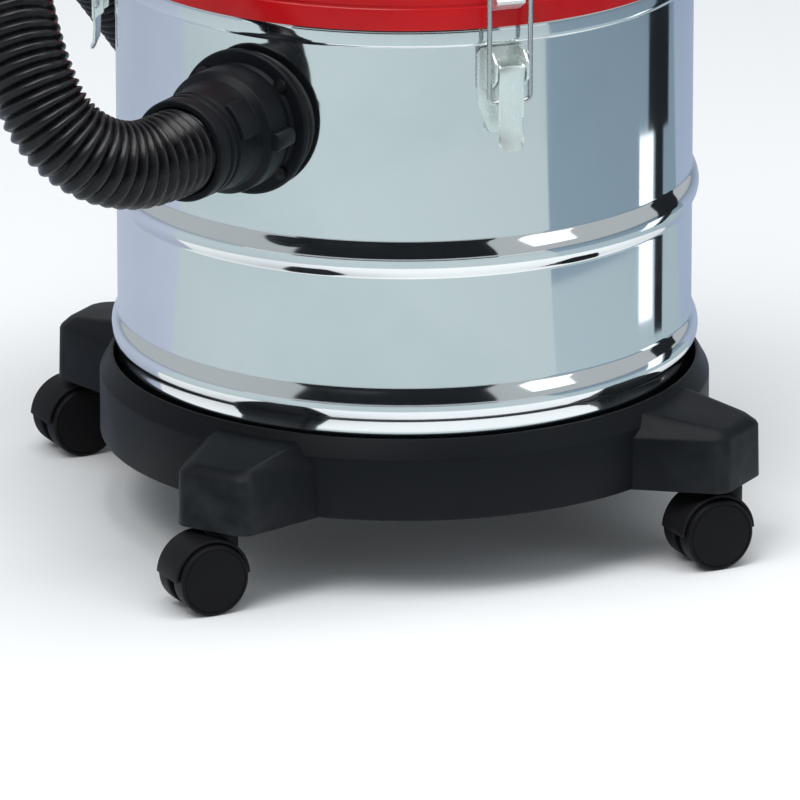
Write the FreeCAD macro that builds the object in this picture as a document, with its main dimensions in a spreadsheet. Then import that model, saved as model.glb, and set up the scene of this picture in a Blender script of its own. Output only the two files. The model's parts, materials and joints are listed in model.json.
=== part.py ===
import FreeCAD, Part
import math
import os

import Sketcher
from FreeCAD import Placement, Rotation, Vector

# Wet and dry shop vacuum. Millimetres, +Z up. The drum's axis is the Z axis, the floor is z = 0,
# and the hose inlet faces -Y. Angles are in degrees, counted from +X towards +Y.

PARTS_FOLDER = "parts"
UP = Vector(0, 0, 1)
X_AXIS = Vector(1, 0, 0)
Y_AXIS = Vector(0, 1, 0)

# Driving dimensions. Every other size is worked out from these.
DIMENSIONS = {
    # drum
    "drum_radius": 140.0,
    "drum_sheet": 0.8,
    "drum_bottom": 57.0,
    "drum_top": 284.5,
    "drum_foot_radius": 6.0,
    "bead_rise": 3.2,
    "bead_span": 22.0,
    "low_bead_height": 96.0,
    "mid_bead_height": 169.0,
    "rim_rise": 3.6,
    "rim_span": 9.0,
    # dolly
    "dolly_radius": 149.0,
    "dolly_inner": 142.3,
    "dolly_bottom": 40.0,
    "dolly_shoulder": 70.0,
    "dolly_top": 79.5,
    "dolly_lip": 143.5,
    "dolly_wall": 3.0,
    "dolly_floor": 4.0,
    "dolly_hub": 50.0,
    "foot_screw_circle": 80.0,
    "foot_screw_radius": 4.5,
    "foot_screw_height": 3.0,
    "rib_width": 2.5,
    "rib_depth": 9.0,
    "pod_reach": 188.0,
    "pod_root_half": 34.0,
    "pod_tip_half": 19.0,
    "pod_tall": 34.0,
    "pod_cavity": 28.0,
    "boss_radius": 9.0,
    # castors
    "castor_circle": 178.0,
    "castor_trail": 9.5,
    "wheel_radius": 17.5,
    "wheel_width": 11.0,
    "wheel_bore": 3.05,
    "web_width": 6.0,
    "web_radius": 16.0,
    "hood_radius": 19.8,
    "hood_width": 22.0,
    "hood_inside": 18.1,
    "hood_boss": 8.0,
    "hood_top": 39.0,
    "hood_neck_foot": 24.0,
    "axle_depth": 3.0,
    "bore_skin": 2.9,
    "wheel_gap": 0.4,
    "axle_radius": 3.0,
    "stem_radius": 4.0,
    "stem_bore": 4.05,
    "stem_foot": 35.0,
    "stem_top": 62.0,
    # inlet and hose
    "inlet_height": 232.0,
    "hose_bore": 18.0,
    "hose_radius": 21.0,
    "port_flange_radius": 35.5,
    "port_face": 147.5,
    "port_sleeve": 25.0,
    "port_mouth": 165.0,
    "port_inside": 128.0,
    "gasket_thickness": 1.5,
    "saddle_low": 190.0,
    "saddle_height": 90.0,
    "flange_depth": 8.0,
    "port_screw_circle": 30.5,
    "port_screw_radius": 1.6,
    "port_screw_length": 6.0,
    "port_screw_hole": 12.0,
    "port_screw_head": 3.0,
    "port_screw_dome": 2.0,
    "gasket_radius": 33.0,
    "connector_radius": 30.0,
    "connector_start": 148.0,
    "connector_shoulder": 171.0,
    "connector_neck": 25.0,
    "connector_end": 204.0,
    "hose_start": 195.0,
    "wing_reach": 34.5,
    "wing_width": 9.0,
    "grip_radius": 21.0,
    "grip_cuff": 24.5,
    "grip_wall": 3.0,
    "nose_radius": 17.5,
    "nose_length": 40.0,
    "slider_length": 16.0,
    "slider_wall": 3.0,
    "slider_clearance": 0.06,
    # latches
    "latch_pivot_reach": 151.0,
    "latch_pivot_height": 263.0,
    "bail_drop": 16.0,
    "lever_length": 40.0,
    "lever_half_width": 6.5,
    "lever_sheet": 1.4,
    "ear_half_gap": 7.2,
    "ear_sheet": 1.3,
    "plate_half_width": 12.5,
    "plate_low": 229.0,
    "plate_high": 272.0,
    "plate_sheet": 1.3,
    "pin_radius": 1.5,
    "pin_bore": 1.55,
    "rivet_radius": 2.2,
    "rivet_height": 1.0,
    "lever_offset": 1.6,
    "cheek_depth": 3.5,
    "lever_margin": 3.0,
    "wire_radius": 1.25,
    "wire_bore": 1.3,
    "bail_half_width": 10.2,
    "catch_height": 301.0,
    "catch_half_width": 7.0,
    # head
    "head_base": 286.5,
    "head_radius": 144.5,
    "head_band_top": 306.0,
    "deck_radius": 116.0,
    "deck_height": 328.0,
    "head_wall": 3.0,
    "cover_radius": 100.0,
    "cover_shoulder": 360.0,
    "cover_flat": 72.0,
    "cover_top": 386.0,
    "locating_lip": 12.0,
    "lip_gap": 0.9,
    "lip_wall": 2.4,
    "deck_shelf": 12.0,
    "seal_overhang": 3.5,
    "seal_height": 284.8,
    "plate_height": 298.0,
    "plate_thick": 3.0,
    "intake_radius": 16.0,
    "handle_radius": 9.5,
    "handle_span": 112.0,
    "handle_rise": 431.0,
    "port_height": 350.0,
    "blower_bore": 17.5,
    "blower_outer": 21.0,
    "blower_mouth": 126.0,
    "gland_radius": 9.0,
    "gland_hole": 3.8,
    "gland_length": 12.0,
    "gland_offset": 60.0,
    "gland_reach": 118.0,
    "gland_height": 315.0,
    "switch_offset": 40.0,
    "switch_height": 10.0,
    "switch_border": 4.0,
    "rocker_half_width": 7.0,
    "rocker_half_length": 10.0,
    "rocker_pivot": 4.0,
    "trunnion_radius": 1.5,
    "trunnion_reach": 0.3,
    # motor and filter
    "fan_can_radius": 68.0,
    "fan_can_height": 28.0,
    "can_sheet": 1.2,
    "impeller_radius": 60.0,
    "impeller_height": 14.0,
    "fan_lift": 5.0,
    "fan_hub": 6.0,
    "fan_disc": 1.5,
    "vane_half": 0.8,
    "head_screw_circle": 76.0,
    "head_screw_radius": 4.0,
    "head_screw_height": 2.5,
    "shaft_radius": 4.0,
    "shaft_clearance": 0.03,
    "bearing_outer": 11.0,
    "bearing_height": 7.0,
    "armature_radius": 24.0,
    "stator_inner": 25.0,
    "stator_outer": 42.0,
    "stator_height": 28.0,
    "motor_can_top": 374.0,
    "cage_radius": 26.0,
    "cage_wall": 2.0,
    "cage_bottom": 236.0,
    "cage_drain": 8.0,
    "cage_slot_half": 5.0,
    "cage_slot_low": 10.0,
    "cage_slot_high": 14.0,
    "ball_radius": 22.5,
    "ball_height": 260.8,
    "foam_thick": 15.0,
    "foam_bottom": 240.0,
    "ring_height": 6.0,
    "ring_overhang": 3.0,
}

DOLLY_TURN = 2.0
POD_ANGLES = tuple(DOLLY_TURN + quarter for quarter in (0.0, 90.0, 180.0, 270.0))
LATCH_ANGLES = (-39.4, -159.4, 80.6)
CASTOR_HEADING = -32.6
CATCH_SLOPE = 40.0

# The hose's route, laid by hand: out of the inlet, up and over at the drum's left, down behind it
# to the floor. The last stretch lies in the socket of the hand grip's cuff.
HOSE_ROUTE = [
    (0, -195, 232),
    (0, -213, 232),
    (-6, -235, 231),
    (-18, -254, 239),
    (-33, -263, 255),
    (-47, -262, 279),
    (-64, -251, 306),
    (-91, -224, 334),
    (-127, -182, 356),
    (-164, -128, 362),
    (-197, -69, 342),
    (-216, -8, 295),
    (-208, 50, 233),
    (-188, 100, 162),
    (-173, 148, 99),
    (-176, 198, 57),
    (-193, 246, 34),
    (-214, 290, 25),
    (-240, 332, 25),
    (-269, 370, 25),
]
ARC_SHARE = 0.45
GRIP_BEND = 22.0
GRIP_TURN_RADIUS = 90.0
GRIP_SOCKET = 30.0
GRIP_CUFF_LENGTH = 36.0
GRIP_HOLD = 50.0
BLEED_RADIUS = 4.0
BLEED_PLACE = 47.0


class Size:
    """A number together with the spreadsheet expression that it comes from."""

    def __init__(self, value, text):
        self.value = float(value)
        self.text = text

    def join(self, other, sign, value):
        text = other.text if isinstance(other, Size) else repr(float(other))
        return Size(value, f"({self.text} {sign} {text})")

    def __add__(self, other):
        return self.join(other, "+", self.value + number(other))

    def __sub__(self, other):
        return self.join(other, "-", self.value - number(other))

    def __mul__(self, other):
        return self.join(other, "*", self.value * number(other))

    def __truediv__(self, other):
        return self.join(other, "/", self.value / number(other))

    def __neg__(self):
        return Size(-self.value, f"(0 - {self.text})")


def number(size):
    return size.value if isinstance(size, Size) else float(size)


def as_size(value):
    return value if isinstance(value, Size) else Size(value, repr(float(value)))


def make_sheet():
    sheet = doc.addObject("Spreadsheet::Sheet", "Dimensions")
    for row, (alias, value) in enumerate(DIMENSIONS.items(), start=1):
        sheet.set(f"A{row}", alias)
        sheet.set(f"B{row}", str(value))
        sheet.setAlias(f"B{row}", alias)
    doc.recompute()
    return {alias: Size(value, f"Dimensions.{alias}") for alias, value in DIMENSIONS.items()}


doc = FreeCAD.newDocument("shop_vacuum")
dim = make_sheet()
nodes = []


def bind(obj, name, size):
    if isinstance(size, Size):
        obj.setExpression(name, size.text)
    else:
        setattr(obj, name, size)


def node(obj, label):
    obj.Label = label
    nodes.append(obj)
    return obj


# ---- Part primitives -------------------------------------------------------------------------


def place(obj, at=(0, 0, 0), rotation=None):
    obj.Placement = Placement(Vector(*[number(v) for v in at]), rotation or Rotation())
    for axis, value in zip("xyz", at):
        if isinstance(value, Size):
            obj.setExpression(f"Placement.Base.{axis}", value.text)
    return obj


def cylinder(radius, height, at=(0, 0, 0), along=UP):
    obj = doc.addObject("Part::Cylinder", "Cylinder")
    bind(obj, "Radius", radius)
    bind(obj, "Height", height)
    return place(obj, at, Rotation(UP, along))


def sphere(radius, at=(0, 0, 0)):
    obj = doc.addObject("Part::Sphere", "Sphere")
    bind(obj, "Radius", radius)
    return place(obj, at)


def box(low, high):
    obj = doc.addObject("Part::Box", "Box")
    for name, a, b in zip(("Length", "Width", "Height"), low, high):
        span = b - a if isinstance(b, Size) else (-(a - b) if isinstance(a, Size) else b - a)
        bind(obj, name, span)
    return place(obj, low)


def cut(base, *tools):
    for tool in tools:
        obj = doc.addObject("Part::Cut", "Cut")
        obj.Base = base
        obj.Tool = tool
        base = obj
    return base


def fuse(*shapes):
    obj = doc.addObject("Part::MultiFuse", "Fuse")
    obj.Shapes = list(shapes)
    return obj


def common(a, b):
    obj = doc.addObject("Part::MultiCommon", "Common")
    obj.Shapes = [a, b]
    return obj


def group(*solids):
    obj = doc.addObject("Part::Compound", "Group")
    obj.Links = list(solids)
    return obj


def turned(obj, angle, at=(0, 0, 0)):
    """Turns a finished piece about the Z axis and then moves it."""
    obj.Placement = Placement(Vector(*at), Rotation(UP, angle))
    return obj


def ring(outer, inner, height, at=(0, 0, 0), along=UP):
    return cut(cylinder(outer, height, at, along), cylinder(inner, height, at, along))


# ---- PartDesign bodies -----------------------------------------------------------------------


def new_body(label):
    return node(doc.addObject("PartDesign::Body", label), label)


def origin_of(body, role):
    return next(o for o in body.Origin.OriginFeatures if o.Role == role)


def sketch_on(body, role, offset=0.0):
    sketch = body.newObject("Sketcher::SketchObject", "Sketch")
    sketch.AttachmentSupport = [(origin_of(body, role), "")]
    sketch.MapMode = "FlatFace"
    sketch.AttachmentOffset = Placement(Vector(0, 0, number(offset)), Rotation())
    if isinstance(offset, Size):
        sketch.setExpression("AttachmentOffset.Base.z", offset.text)
    return sketch


def fix_point(sketch, geometry, end, x, y):
    for kind, axis, value in (("DistanceX", -2, x), ("DistanceY", -1, y)):
        if abs(number(value)) < 1e-9:
            sketch.addConstraint(Sketcher.Constraint("PointOnObject", geometry, end, axis))
            continue
        index = sketch.addConstraint(
            Sketcher.Constraint(kind, -1, 1, geometry, end, number(value))
        )
        if isinstance(value, Size):
            sketch.setExpression(f"Constraints[{index}]", value.text)


def arc_middle(a, b, rise):
    """The middle of an arc from a to b that stands off its chord by rise, to the right of a-b."""
    chord = b - a
    side = Vector(chord.y, -chord.x, 0).normalize()
    return (a + b) / 2 + side * rise


def outline(sketch, points):
    """A closed outline of (x, y) points. A third value is how far the edge from that point to
    the next bulges to its right, as an arc."""
    corners = [Vector(number(p[0]), number(p[1]), 0) for p in points]
    ends = []
    for i, point in enumerate(points):
        a, b = corners[i], corners[(i + 1) % len(points)]
        if len(point) == 3:
            rise = point[2]
            middle = arc_middle(a, b, number(rise))
            bulges_right = number(rise) > 0
            arc = Part.Arc(a, middle, b) if bulges_right else Part.Arc(b, middle, a)
            index = sketch.addGeometry(arc, False)
            ends.append((index, (1, 2) if bulges_right else (2, 1)))
            half = (b - a).Length / 2
            tall = as_size(rise) if bulges_right else -as_size(rise)
            radius = as_size(half ** 2) / (tall * 2.0) + tall / 2.0
            limit = sketch.addConstraint(Sketcher.Constraint("Radius", index, radius.value))
            sketch.setExpression(f"Constraints[{limit}]", radius.text)
        else:
            index = sketch.addGeometry(Part.LineSegment(a, b), False)
            ends.append((index, (1, 2)))
    for i, (index, (start, stop)) in enumerate(ends):
        following, (first, _) = ends[(i + 1) % len(ends)]
        sketch.addConstraint(Sketcher.Constraint("Coincident", index, stop, following, first))
    for point, (index, (start, _)) in zip(points, ends):
        fix_point(sketch, index, start, point[0], point[1])


def disc(sketch, x, y, radius):
    centre = Vector(number(x), number(y), 0)
    index = sketch.addGeometry(Part.Circle(centre, UP, number(radius)), False)
    fix_point(sketch, index, 3, x, y)
    constraint = sketch.addConstraint(Sketcher.Constraint("Radius", index, number(radius)))
    if isinstance(radius, Size):
        sketch.setExpression(f"Constraints[{constraint}]", radius.text)


def revolve(body, points):
    """Turns an outline in the XZ plane about Z."""
    sketch = sketch_on(body, "XZ_Plane")
    outline(sketch, points)
    feature = body.newObject("PartDesign::Revolution", "Revolution")
    feature.Profile = sketch
    feature.ReferenceAxis = (sketch, ["V_Axis"])
    feature.Angle = 360
    body.Tip = feature
    return feature


def pad(body, sketch, length, back=False):
    feature = body.newObject("PartDesign::Pad", "Pad")
    feature.Profile = sketch
    bind(feature, "Length", length)
    feature.Reversed = back
    body.Tip = feature
    return feature


def pocket(body, sketch, length, back=False):
    """Cuts along the sketch's own normal, and must take material away."""
    doc.recompute()
    before = body.Shape.Volume
    feature = body.newObject("PartDesign::Pocket", "Pocket")
    feature.Profile = sketch
    bind(feature, "Length", length)
    feature.Reversed = not back
    body.Tip = feature
    doc.recompute()
    if not body.Shape.Volume < before - 1e-3:
        raise RuntimeError(f"a pocket in {body.Label} cuts nothing")
    return feature


def polar(body, feature, count):
    pattern = body.newObject("PartDesign::PolarPattern", "Pattern")
    pattern.Originals = [feature]
    pattern.Axis = (origin_of(body, "Z_Axis"), [""])
    pattern.Angle = 360
    pattern.Occurrences = count
    body.Tip = pattern
    return pattern


# ---- Dolly -----------------------------------------------------------------------------------


def pod_outline(inset):
    root = dim["dolly_radius"] - 4.0
    tip = dim["pod_reach"] - inset
    wide = dim["pod_root_half"] - inset
    narrow = dim["pod_tip_half"] - inset
    return [(root, -wide), (tip, -narrow), (tip, narrow), (root, wide)]


def make_dolly():
    body = new_body("dolly_base")
    d = dim
    floor_low = d["drum_bottom"] - d["dolly_floor"]
    skirt = d["dolly_radius"] - d["dolly_wall"]
    revolve(body, [
        (d["dolly_hub"], floor_low),
        (skirt, floor_low),
        (skirt, d["dolly_bottom"]),
        (d["dolly_radius"], d["dolly_bottom"]),
        (d["dolly_radius"], d["dolly_shoulder"]),
        (d["dolly_lip"], d["dolly_top"]),
        (d["dolly_inner"], d["dolly_top"]),
        (d["dolly_inner"], d["drum_bottom"]),
        (d["dolly_hub"], d["drum_bottom"]),
    ])

    ribs = sketch_on(body, "XY_Plane", floor_low - d["rib_depth"])
    half = d["rib_width"] / 2
    outline(ribs, [
        (d["dolly_hub"] + 4.0, -half),
        (skirt + 1.0, -half),
        (skirt + 1.0, half),
        (d["dolly_hub"] + 4.0, half),
    ])
    polar(body, pad(body, ribs, d["rib_depth"] + 1.0), 12)

    shell = sketch_on(body, "XY_Plane", d["dolly_bottom"])
    outline(shell, pod_outline(0.0))
    polar(body, pad(body, shell, d["pod_tall"]), 4)

    cavity = sketch_on(body, "XY_Plane", d["dolly_bottom"])
    inset = d["dolly_wall"]
    outline(cavity, [
        (d["dolly_radius"], -(d["pod_root_half"] - inset - 3.0)),
        (d["pod_reach"] - inset, -(d["pod_tip_half"] - inset)),
        (d["pod_reach"] - inset, d["pod_tip_half"] - inset),
        (d["dolly_radius"], d["pod_root_half"] - inset - 3.0),
    ])
    polar(body, pocket(body, cavity, d["pod_cavity"]), 4)

    boss = sketch_on(body, "XY_Plane", d["dolly_bottom"])
    disc(boss, d["castor_circle"], 0.0, d["boss_radius"])
    polar(body, pad(body, boss, d["pod_tall"] - 1.0), 4)

    socket = sketch_on(body, "XY_Plane", d["dolly_bottom"])
    disc(socket, d["castor_circle"], 0.0, d["stem_bore"])
    polar(body, pocket(body, socket, d["stem_top"] - d["dolly_bottom"] + 1.0), 4)
    turned(body, DOLLY_TURN)


# ---- Castors ---------------------------------------------------------------------------------


def make_castor(count, angle):
    """A twin-wheel castor. It is built about its swivel axis with the axle along X."""
    d = dim
    spot = [d["castor_circle"].value * f(math.radians(angle)) for f in (math.cos, math.sin)] + [0]
    back = -d["castor_trail"]
    axle_at = d["wheel_radius"]
    half_hood = d["hood_width"] / 2
    half_web = d["web_width"] / 2
    wheel_in = half_web + d["wheel_gap"]
    wheel_out = wheel_in + d["wheel_width"]

    def across(radius, low, high):
        return cylinder(radius, high - low, (low, back, axle_at), X_AXIS)

    shell = cut(
        across(d["hood_radius"], -half_hood, half_hood),
        box((-half_hood, back - d["hood_radius"], axle_at - d["hood_radius"]),
            (half_hood, back + d["hood_radius"], axle_at + 1.0)),
    )
    neck = cylinder(d["hood_boss"], d["hood_top"] - d["hood_neck_foot"], (0, 0, d["hood_neck_foot"]))
    cap = cut(
        fuse(shell, neck),
        across(d["hood_inside"], half_web, half_hood + 2.0),
        across(d["hood_inside"], -half_hood - 2.0, -half_web),
    )
    hood = cut(
        fuse(cap, across(d["web_radius"], -half_web, half_web)),
        across(d["axle_radius"], -half_web, half_web),
        cylinder(d["stem_radius"], 20.0, (0, 0, d["stem_foot"])),
    )
    stem = cylinder(d["stem_radius"], d["stem_top"] - d["stem_foot"], (0, 0, d["stem_foot"]))
    axle = across(d["axle_radius"], -(wheel_out - d["axle_depth"]), wheel_out - d["axle_depth"])

    def wheel(low, high, bore_low, bore_high):
        tread = across(d["wheel_radius"], low, high)
        return cut(tread, across(d["wheel_bore"], bore_low, bore_high))

    left = wheel(-wheel_out, -wheel_in, -(wheel_out - d["bore_skin"]), -wheel_in)
    right = wheel(wheel_in, wheel_out, wheel_in, wheel_out - d["bore_skin"])
    pieces = (("hood", hood), ("stem", stem), ("axle", axle), ("wheel_a", left), ("wheel_b", right))
    for name, piece in pieces:
        node(turned(group(piece), CASTOR_HEADING, spot), f"castor_{name}_{count}")


# ---- Drum ------------------------------------------------------------------------------------


def bead(radius, height, rise, span):
    """Two points of a drum's outline with the rolled bead between them, going up."""
    return [(radius, height - span / 2, rise), (radius, height + span / 2)]


def make_drum():
    body = new_body("drum")
    d = dim
    outer = d["drum_radius"]
    inner = outer - d["drum_sheet"]
    foot = d["drum_foot_radius"]
    low = d["drum_bottom"]
    floor = low + d["drum_sheet"]
    beads = [(d["low_bead_height"], d["bead_rise"], d["bead_span"]),
             (d["mid_bead_height"], d["bead_rise"], d["bead_span"])]
    points = [(0.0, low), (outer - foot, low), (outer, low + foot)]
    for height, rise, span in beads:
        points += bead(outer, height, rise, span)
    rim_low = d["drum_top"] - d["rim_span"]
    points += [(outer, rim_low, d["rim_rise"]), (outer, d["drum_top"]), (inner, d["drum_top"])]
    for height, rise, span in reversed(beads):
        points += [(inner, height + span / 2, -rise), (inner, height - span / 2)]
    points += [(inner, floor + foot), (inner - foot, floor), (0.0, floor)]
    revolve(body, points)
    hole = sketch_on(body, "XZ_Plane")
    disc(hole, 0.0, d["inlet_height"], d["port_sleeve"])
    pocket(body, hole, outer + 10.0)


def make_drum_screws():
    d = dim
    screws = []
    for angle in POD_ANGLES:
        low = d["drum_bottom"] - d["dolly_floor"] - d["foot_screw_height"]
        head = cylinder(d["foot_screw_radius"], d["foot_screw_height"], (d["foot_screw_circle"], 0, low))
        screws.append(turned(group(head), angle + 45.0))
    return node(group(*screws), "drum_screws")


# ---- Inlet and hose --------------------------------------------------------------------------


def along_inlet(radius, start, stop):
    return cylinder(radius, stop - start, (0, -start, dim["inlet_height"]), -Y_AXIS)


def make_inlet():
    d = dim
    saddle = (0, 0, d["saddle_low"])
    drum_wall = cylinder(d["drum_radius"] + d["gasket_thickness"], d["saddle_height"], saddle)
    flange_back = d["drum_radius"] - d["flange_depth"]
    flange = cut(along_inlet(d["port_flange_radius"], flange_back, d["port_face"]), drum_wall)
    sleeve = along_inlet(d["port_sleeve"], d["port_inside"], d["port_mouth"])
    screws = []
    holes = []
    for turn in (45.0, 135.0, 225.0, 315.0):
        x = d["port_screw_circle"] * math.cos(math.radians(turn))
        height = d["inlet_height"] + d["port_screw_circle"] * math.sin(math.radians(turn))
        deep = d["port_face"] - d["port_screw_hole"]
        drilled = d["port_screw_hole"] + 2.0
        holes.append(cylinder(d["port_screw_radius"], drilled, (x, -deep, height), -Y_AXIS))
        foot = d["port_face"] - d["port_screw_length"]
        shank = cylinder(d["port_screw_radius"], d["port_screw_length"], (x, -foot, height), -Y_AXIS)
        head = cylinder(d["port_screw_head"], d["port_screw_dome"], (x, -d["port_face"], height), -Y_AXIS)
        screws.append(fuse(shank, head))
    bore = along_inlet(d["hose_bore"], d["port_inside"] - 2.0, d["port_mouth"] + 2.0)
    node(cut(fuse(flange, sleeve), bore, *holes), "inlet_port")
    node(group(*screws), "inlet_screws")

    lining = along_inlet(d["gasket_radius"], flange_back, d["port_face"])
    band = ring(d["drum_radius"] + d["gasket_thickness"], d["drum_radius"], d["saddle_height"], saddle)
    node(
        cut(common(lining, band), along_inlet(d["port_sleeve"], d["port_inside"], d["port_mouth"])),
        "inlet_gasket",
    )


def make_connector():
    d = dim
    cup = along_inlet(d["connector_radius"], d["connector_start"] + 3.0, d["connector_shoulder"])
    neck = along_inlet(d["connector_neck"], d["connector_shoulder"], d["connector_end"])
    wing_low = d["inlet_height"] - d["wing_width"] / 2
    wings = box(
        (-d["wing_reach"], -(d["connector_shoulder"] - 2.0), wing_low),
        (d["wing_reach"], -(d["connector_start"] + 6.0), wing_low + d["wing_width"]),
    )
    body = fuse(cup, neck, wings)
    node(
        cut(
            body,
            along_inlet(d["port_sleeve"], d["connector_start"], d["port_mouth"]),
            along_inlet(d["hose_bore"], d["connector_start"], d["connector_end"]),
            along_inlet(d["hose_radius"], d["hose_start"], d["connector_end"] + 1.0),
        ),
        "hose_connector",
    )


def path_with_arcs(route, radii=None):
    """Straight runs joined by tangent arcs. Returns the wire and the arcs' radii."""
    points = [Vector(*p) for p in route]
    start = points[0]
    edges = []
    used = []
    for i in range(1, len(points) - 1):
        before = (points[i] - points[i - 1]).normalize()
        after = (points[i + 1] - points[i]).normalize()
        half_turn = before.getAngle(after) / 2
        run = min((points[i] - points[i - 1]).Length, (points[i + 1] - points[i]).Length)
        reach = ARC_SHARE * run
        if radii:
            reach = radii[i - 1] * math.tan(half_turn)
        radius = reach / math.tan(half_turn)
        used.append(radius)
        first = points[i] - before * reach
        last = points[i] + after * reach
        to_centre = (after - before).normalize()
        centre = points[i] + to_centre * (radius / math.cos(half_turn))
        middle = centre - to_centre * radius
        edges.append(Part.LineSegment(start, first).toShape())
        edges.append(Part.Arc(first, middle, last).toShape())
        start = last
    edges.append(Part.LineSegment(start, points[-1]).toShape())
    return Part.Wire(edges), used


def tube_along(wire, radius):
    start = wire.OrderedVertexes[0].Point
    heading = wire.OrderedEdges[0].tangentAt(wire.OrderedEdges[0].FirstParameter)
    circle = Part.Wire(Part.makeCircle(radius, start, heading))
    return wire.makePipeShell([circle], True, True)


def feature(shape, label):
    obj = doc.addObject("Part::Feature", label)
    obj.Shape = shape
    obj.Placement = Placement()
    return node(obj, label)


def make_hose():
    wire, radii = path_with_arcs(HOSE_ROUTE)
    outer = dim["hose_radius"].value
    tube = tube_along(wire, outer)
    expected = math.pi * outer ** 2 * wire.Length
    print("hose length", round(wire.Length, 1), "radii", [round(r) for r in radii])
    print("hose volume share", round(tube.Volume / expected, 4))
    feature(tube, "hose_tube")


def make_grip():
    """The hand grip at the hose's end: a cuff over the hose, a straight hold, a bend and a nose."""
    stop = Vector(*HOSE_ROUTE[-1])
    heading = (stop - Vector(*HOSE_ROUTE[-2])).normalize()
    end = stop - heading * GRIP_SOCKET
    turn = Rotation(UP, GRIP_BEND)
    after = turn.multVec(heading)
    corner = end + heading * (GRIP_CUFF_LENGTH + GRIP_HOLD)
    tip = corner + after * (GRIP_HOLD + dim["nose_length"].value)
    bend = [GRIP_TURN_RADIUS]
    wire, _ = path_with_arcs([end, corner, tip], bend)
    hold, _ = path_with_arcs([end, corner, corner + after * GRIP_HOLD], bend)
    inner = dim["nose_radius"].value - dim["grip_wall"].value
    cuff = Part.makeCylinder(dim["grip_cuff"].value, GRIP_CUFF_LENGTH, end, heading)
    solid = tube_along(wire, dim["nose_radius"].value)
    solid = solid.fuse(tube_along(hold, dim["grip_radius"].value)).fuse(cuff)
    bleed = Part.makeCylinder(BLEED_RADIUS, 60.0, end + heading * BLEED_PLACE, UP)
    socket = Part.makeCylinder(dim["hose_radius"].value, GRIP_SOCKET, end, heading)
    solid = solid.cut(tube_along(wire, inner)).cut(socket).cut(bleed).removeSplitter()
    feature(solid, "hose_grip")

    low = end + heading * (GRIP_CUFF_LENGTH + 3.0)
    inside = dim["grip_radius"].value + dim["slider_clearance"].value
    outside = inside + dim["slider_wall"].value
    length = dim["slider_length"].value
    sleeve = Part.makeCylinder(outside, length, low, heading)
    feature(sleeve.cut(Part.makeCylinder(inside, length, low, heading)), "air_slider")
    print("grip heading", [round(v, 4) for v in heading], "nose", [round(v, 4) for v in after])
    print("nose tip", [round(v, 2) for v in tip], "slider", [round(v, 2) for v in low])


# ---- Latches ---------------------------------------------------------------------------------


def make_latches():
    """Wire-bail toggle latches. Each is built with X pointing out of the drum, then turned."""
    d = dim
    reach = d["latch_pivot_reach"]
    high = d["latch_pivot_height"]
    bail_at = high - d["bail_drop"]
    half = d["lever_half_width"]
    gap = d["ear_half_gap"]
    out = d["bail_half_width"]
    plates, rivets, pins = [], [], []
    for count, angle in enumerate(LATCH_ANGLES, start=1):
        wall = cylinder(d["drum_radius"], 80.0, (0, 0, 210.0))
        back = box((d["drum_radius"] - 2.0, -d["plate_half_width"], d["plate_low"]),
                   (d["drum_radius"] + d["plate_sheet"], d["plate_half_width"], d["plate_high"]))
        ears = []
        for side in (-1, 1):
            low_y = gap if side > 0 else -(gap + d["ear_sheet"])
            ears.append(box((d["drum_radius"] + 0.5, low_y, high - 12.0),
                            (reach + 4.0, low_y + d["ear_sheet"], d["plate_high"])))
        bore = cylinder(d["pin_radius"], gap * 4, (reach, -gap * 2, high), Y_AXIS)
        plates.append(turned(group(cut(fuse(back, *ears), wall, bore)), angle))
        for height in (d["plate_low"] + 6.0, d["plate_low"] + 14.0):
            seat = (d["drum_radius"] + d["plate_sheet"], 0, height)
            dome = cylinder(d["rivet_radius"], d["rivet_height"], seat, X_AXIS)
            rivets.append(turned(group(dome), angle))
        pin = cylinder(d["pin_radius"], (gap + d["ear_sheet"]) * 2,
                       (reach, -(gap + d["ear_sheet"]), high), Y_AXIS)
        pins.append(turned(group(pin), angle))

        lever_in = reach + d["lever_offset"]
        lever_top = high + d["lever_margin"]
        face = box((lever_in, -half, high - d["lever_length"]),
                   (lever_in + d["lever_sheet"], half, lever_top))
        sides = []
        for side in (-1, 1):
            low_y = half - d["lever_sheet"] if side > 0 else -half
            sides.append(box((reach - d["cheek_depth"], low_y, bail_at - 4.0),
                             (reach + 2.0, low_y + d["lever_sheet"], lever_top)))
        lever = cut(
            fuse(face, *sides),
            cylinder(d["pin_bore"], gap * 4, (reach, -gap * 2, high), Y_AXIS),
            cylinder(d["wire_bore"], gap * 4, (reach, -gap * 2, bail_at), Y_AXIS),
        )
        node(turned(group(lever), angle), f"latch_lever_{count}")

        rise = d["catch_height"] - bail_at
        wire = d["wire_radius"]
        bar = cylinder(wire, out * 2, (reach, -out, bail_at + rise), Y_AXIS)
        foot = cylinder(wire, out * 2, (reach, -out, bail_at), Y_AXIS)
        legs = [cylinder(wire, rise, (reach, y, bail_at)) for y in (-out, out)]
        knees = [sphere(wire, (reach, y, z)) for y in (-out, out)
                 for z in (bail_at, d["catch_height"])]
        node(turned(group(fuse(bar, foot, *legs, *knees)), angle), f"latch_bail_{count}")
    node(group(*plates), "latch_plates")
    node(group(*rivets), "latch_rivets")
    node(group(*pins), "latch_pins")


# ---- Head ------------------------------------------------------------------------------------


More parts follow.
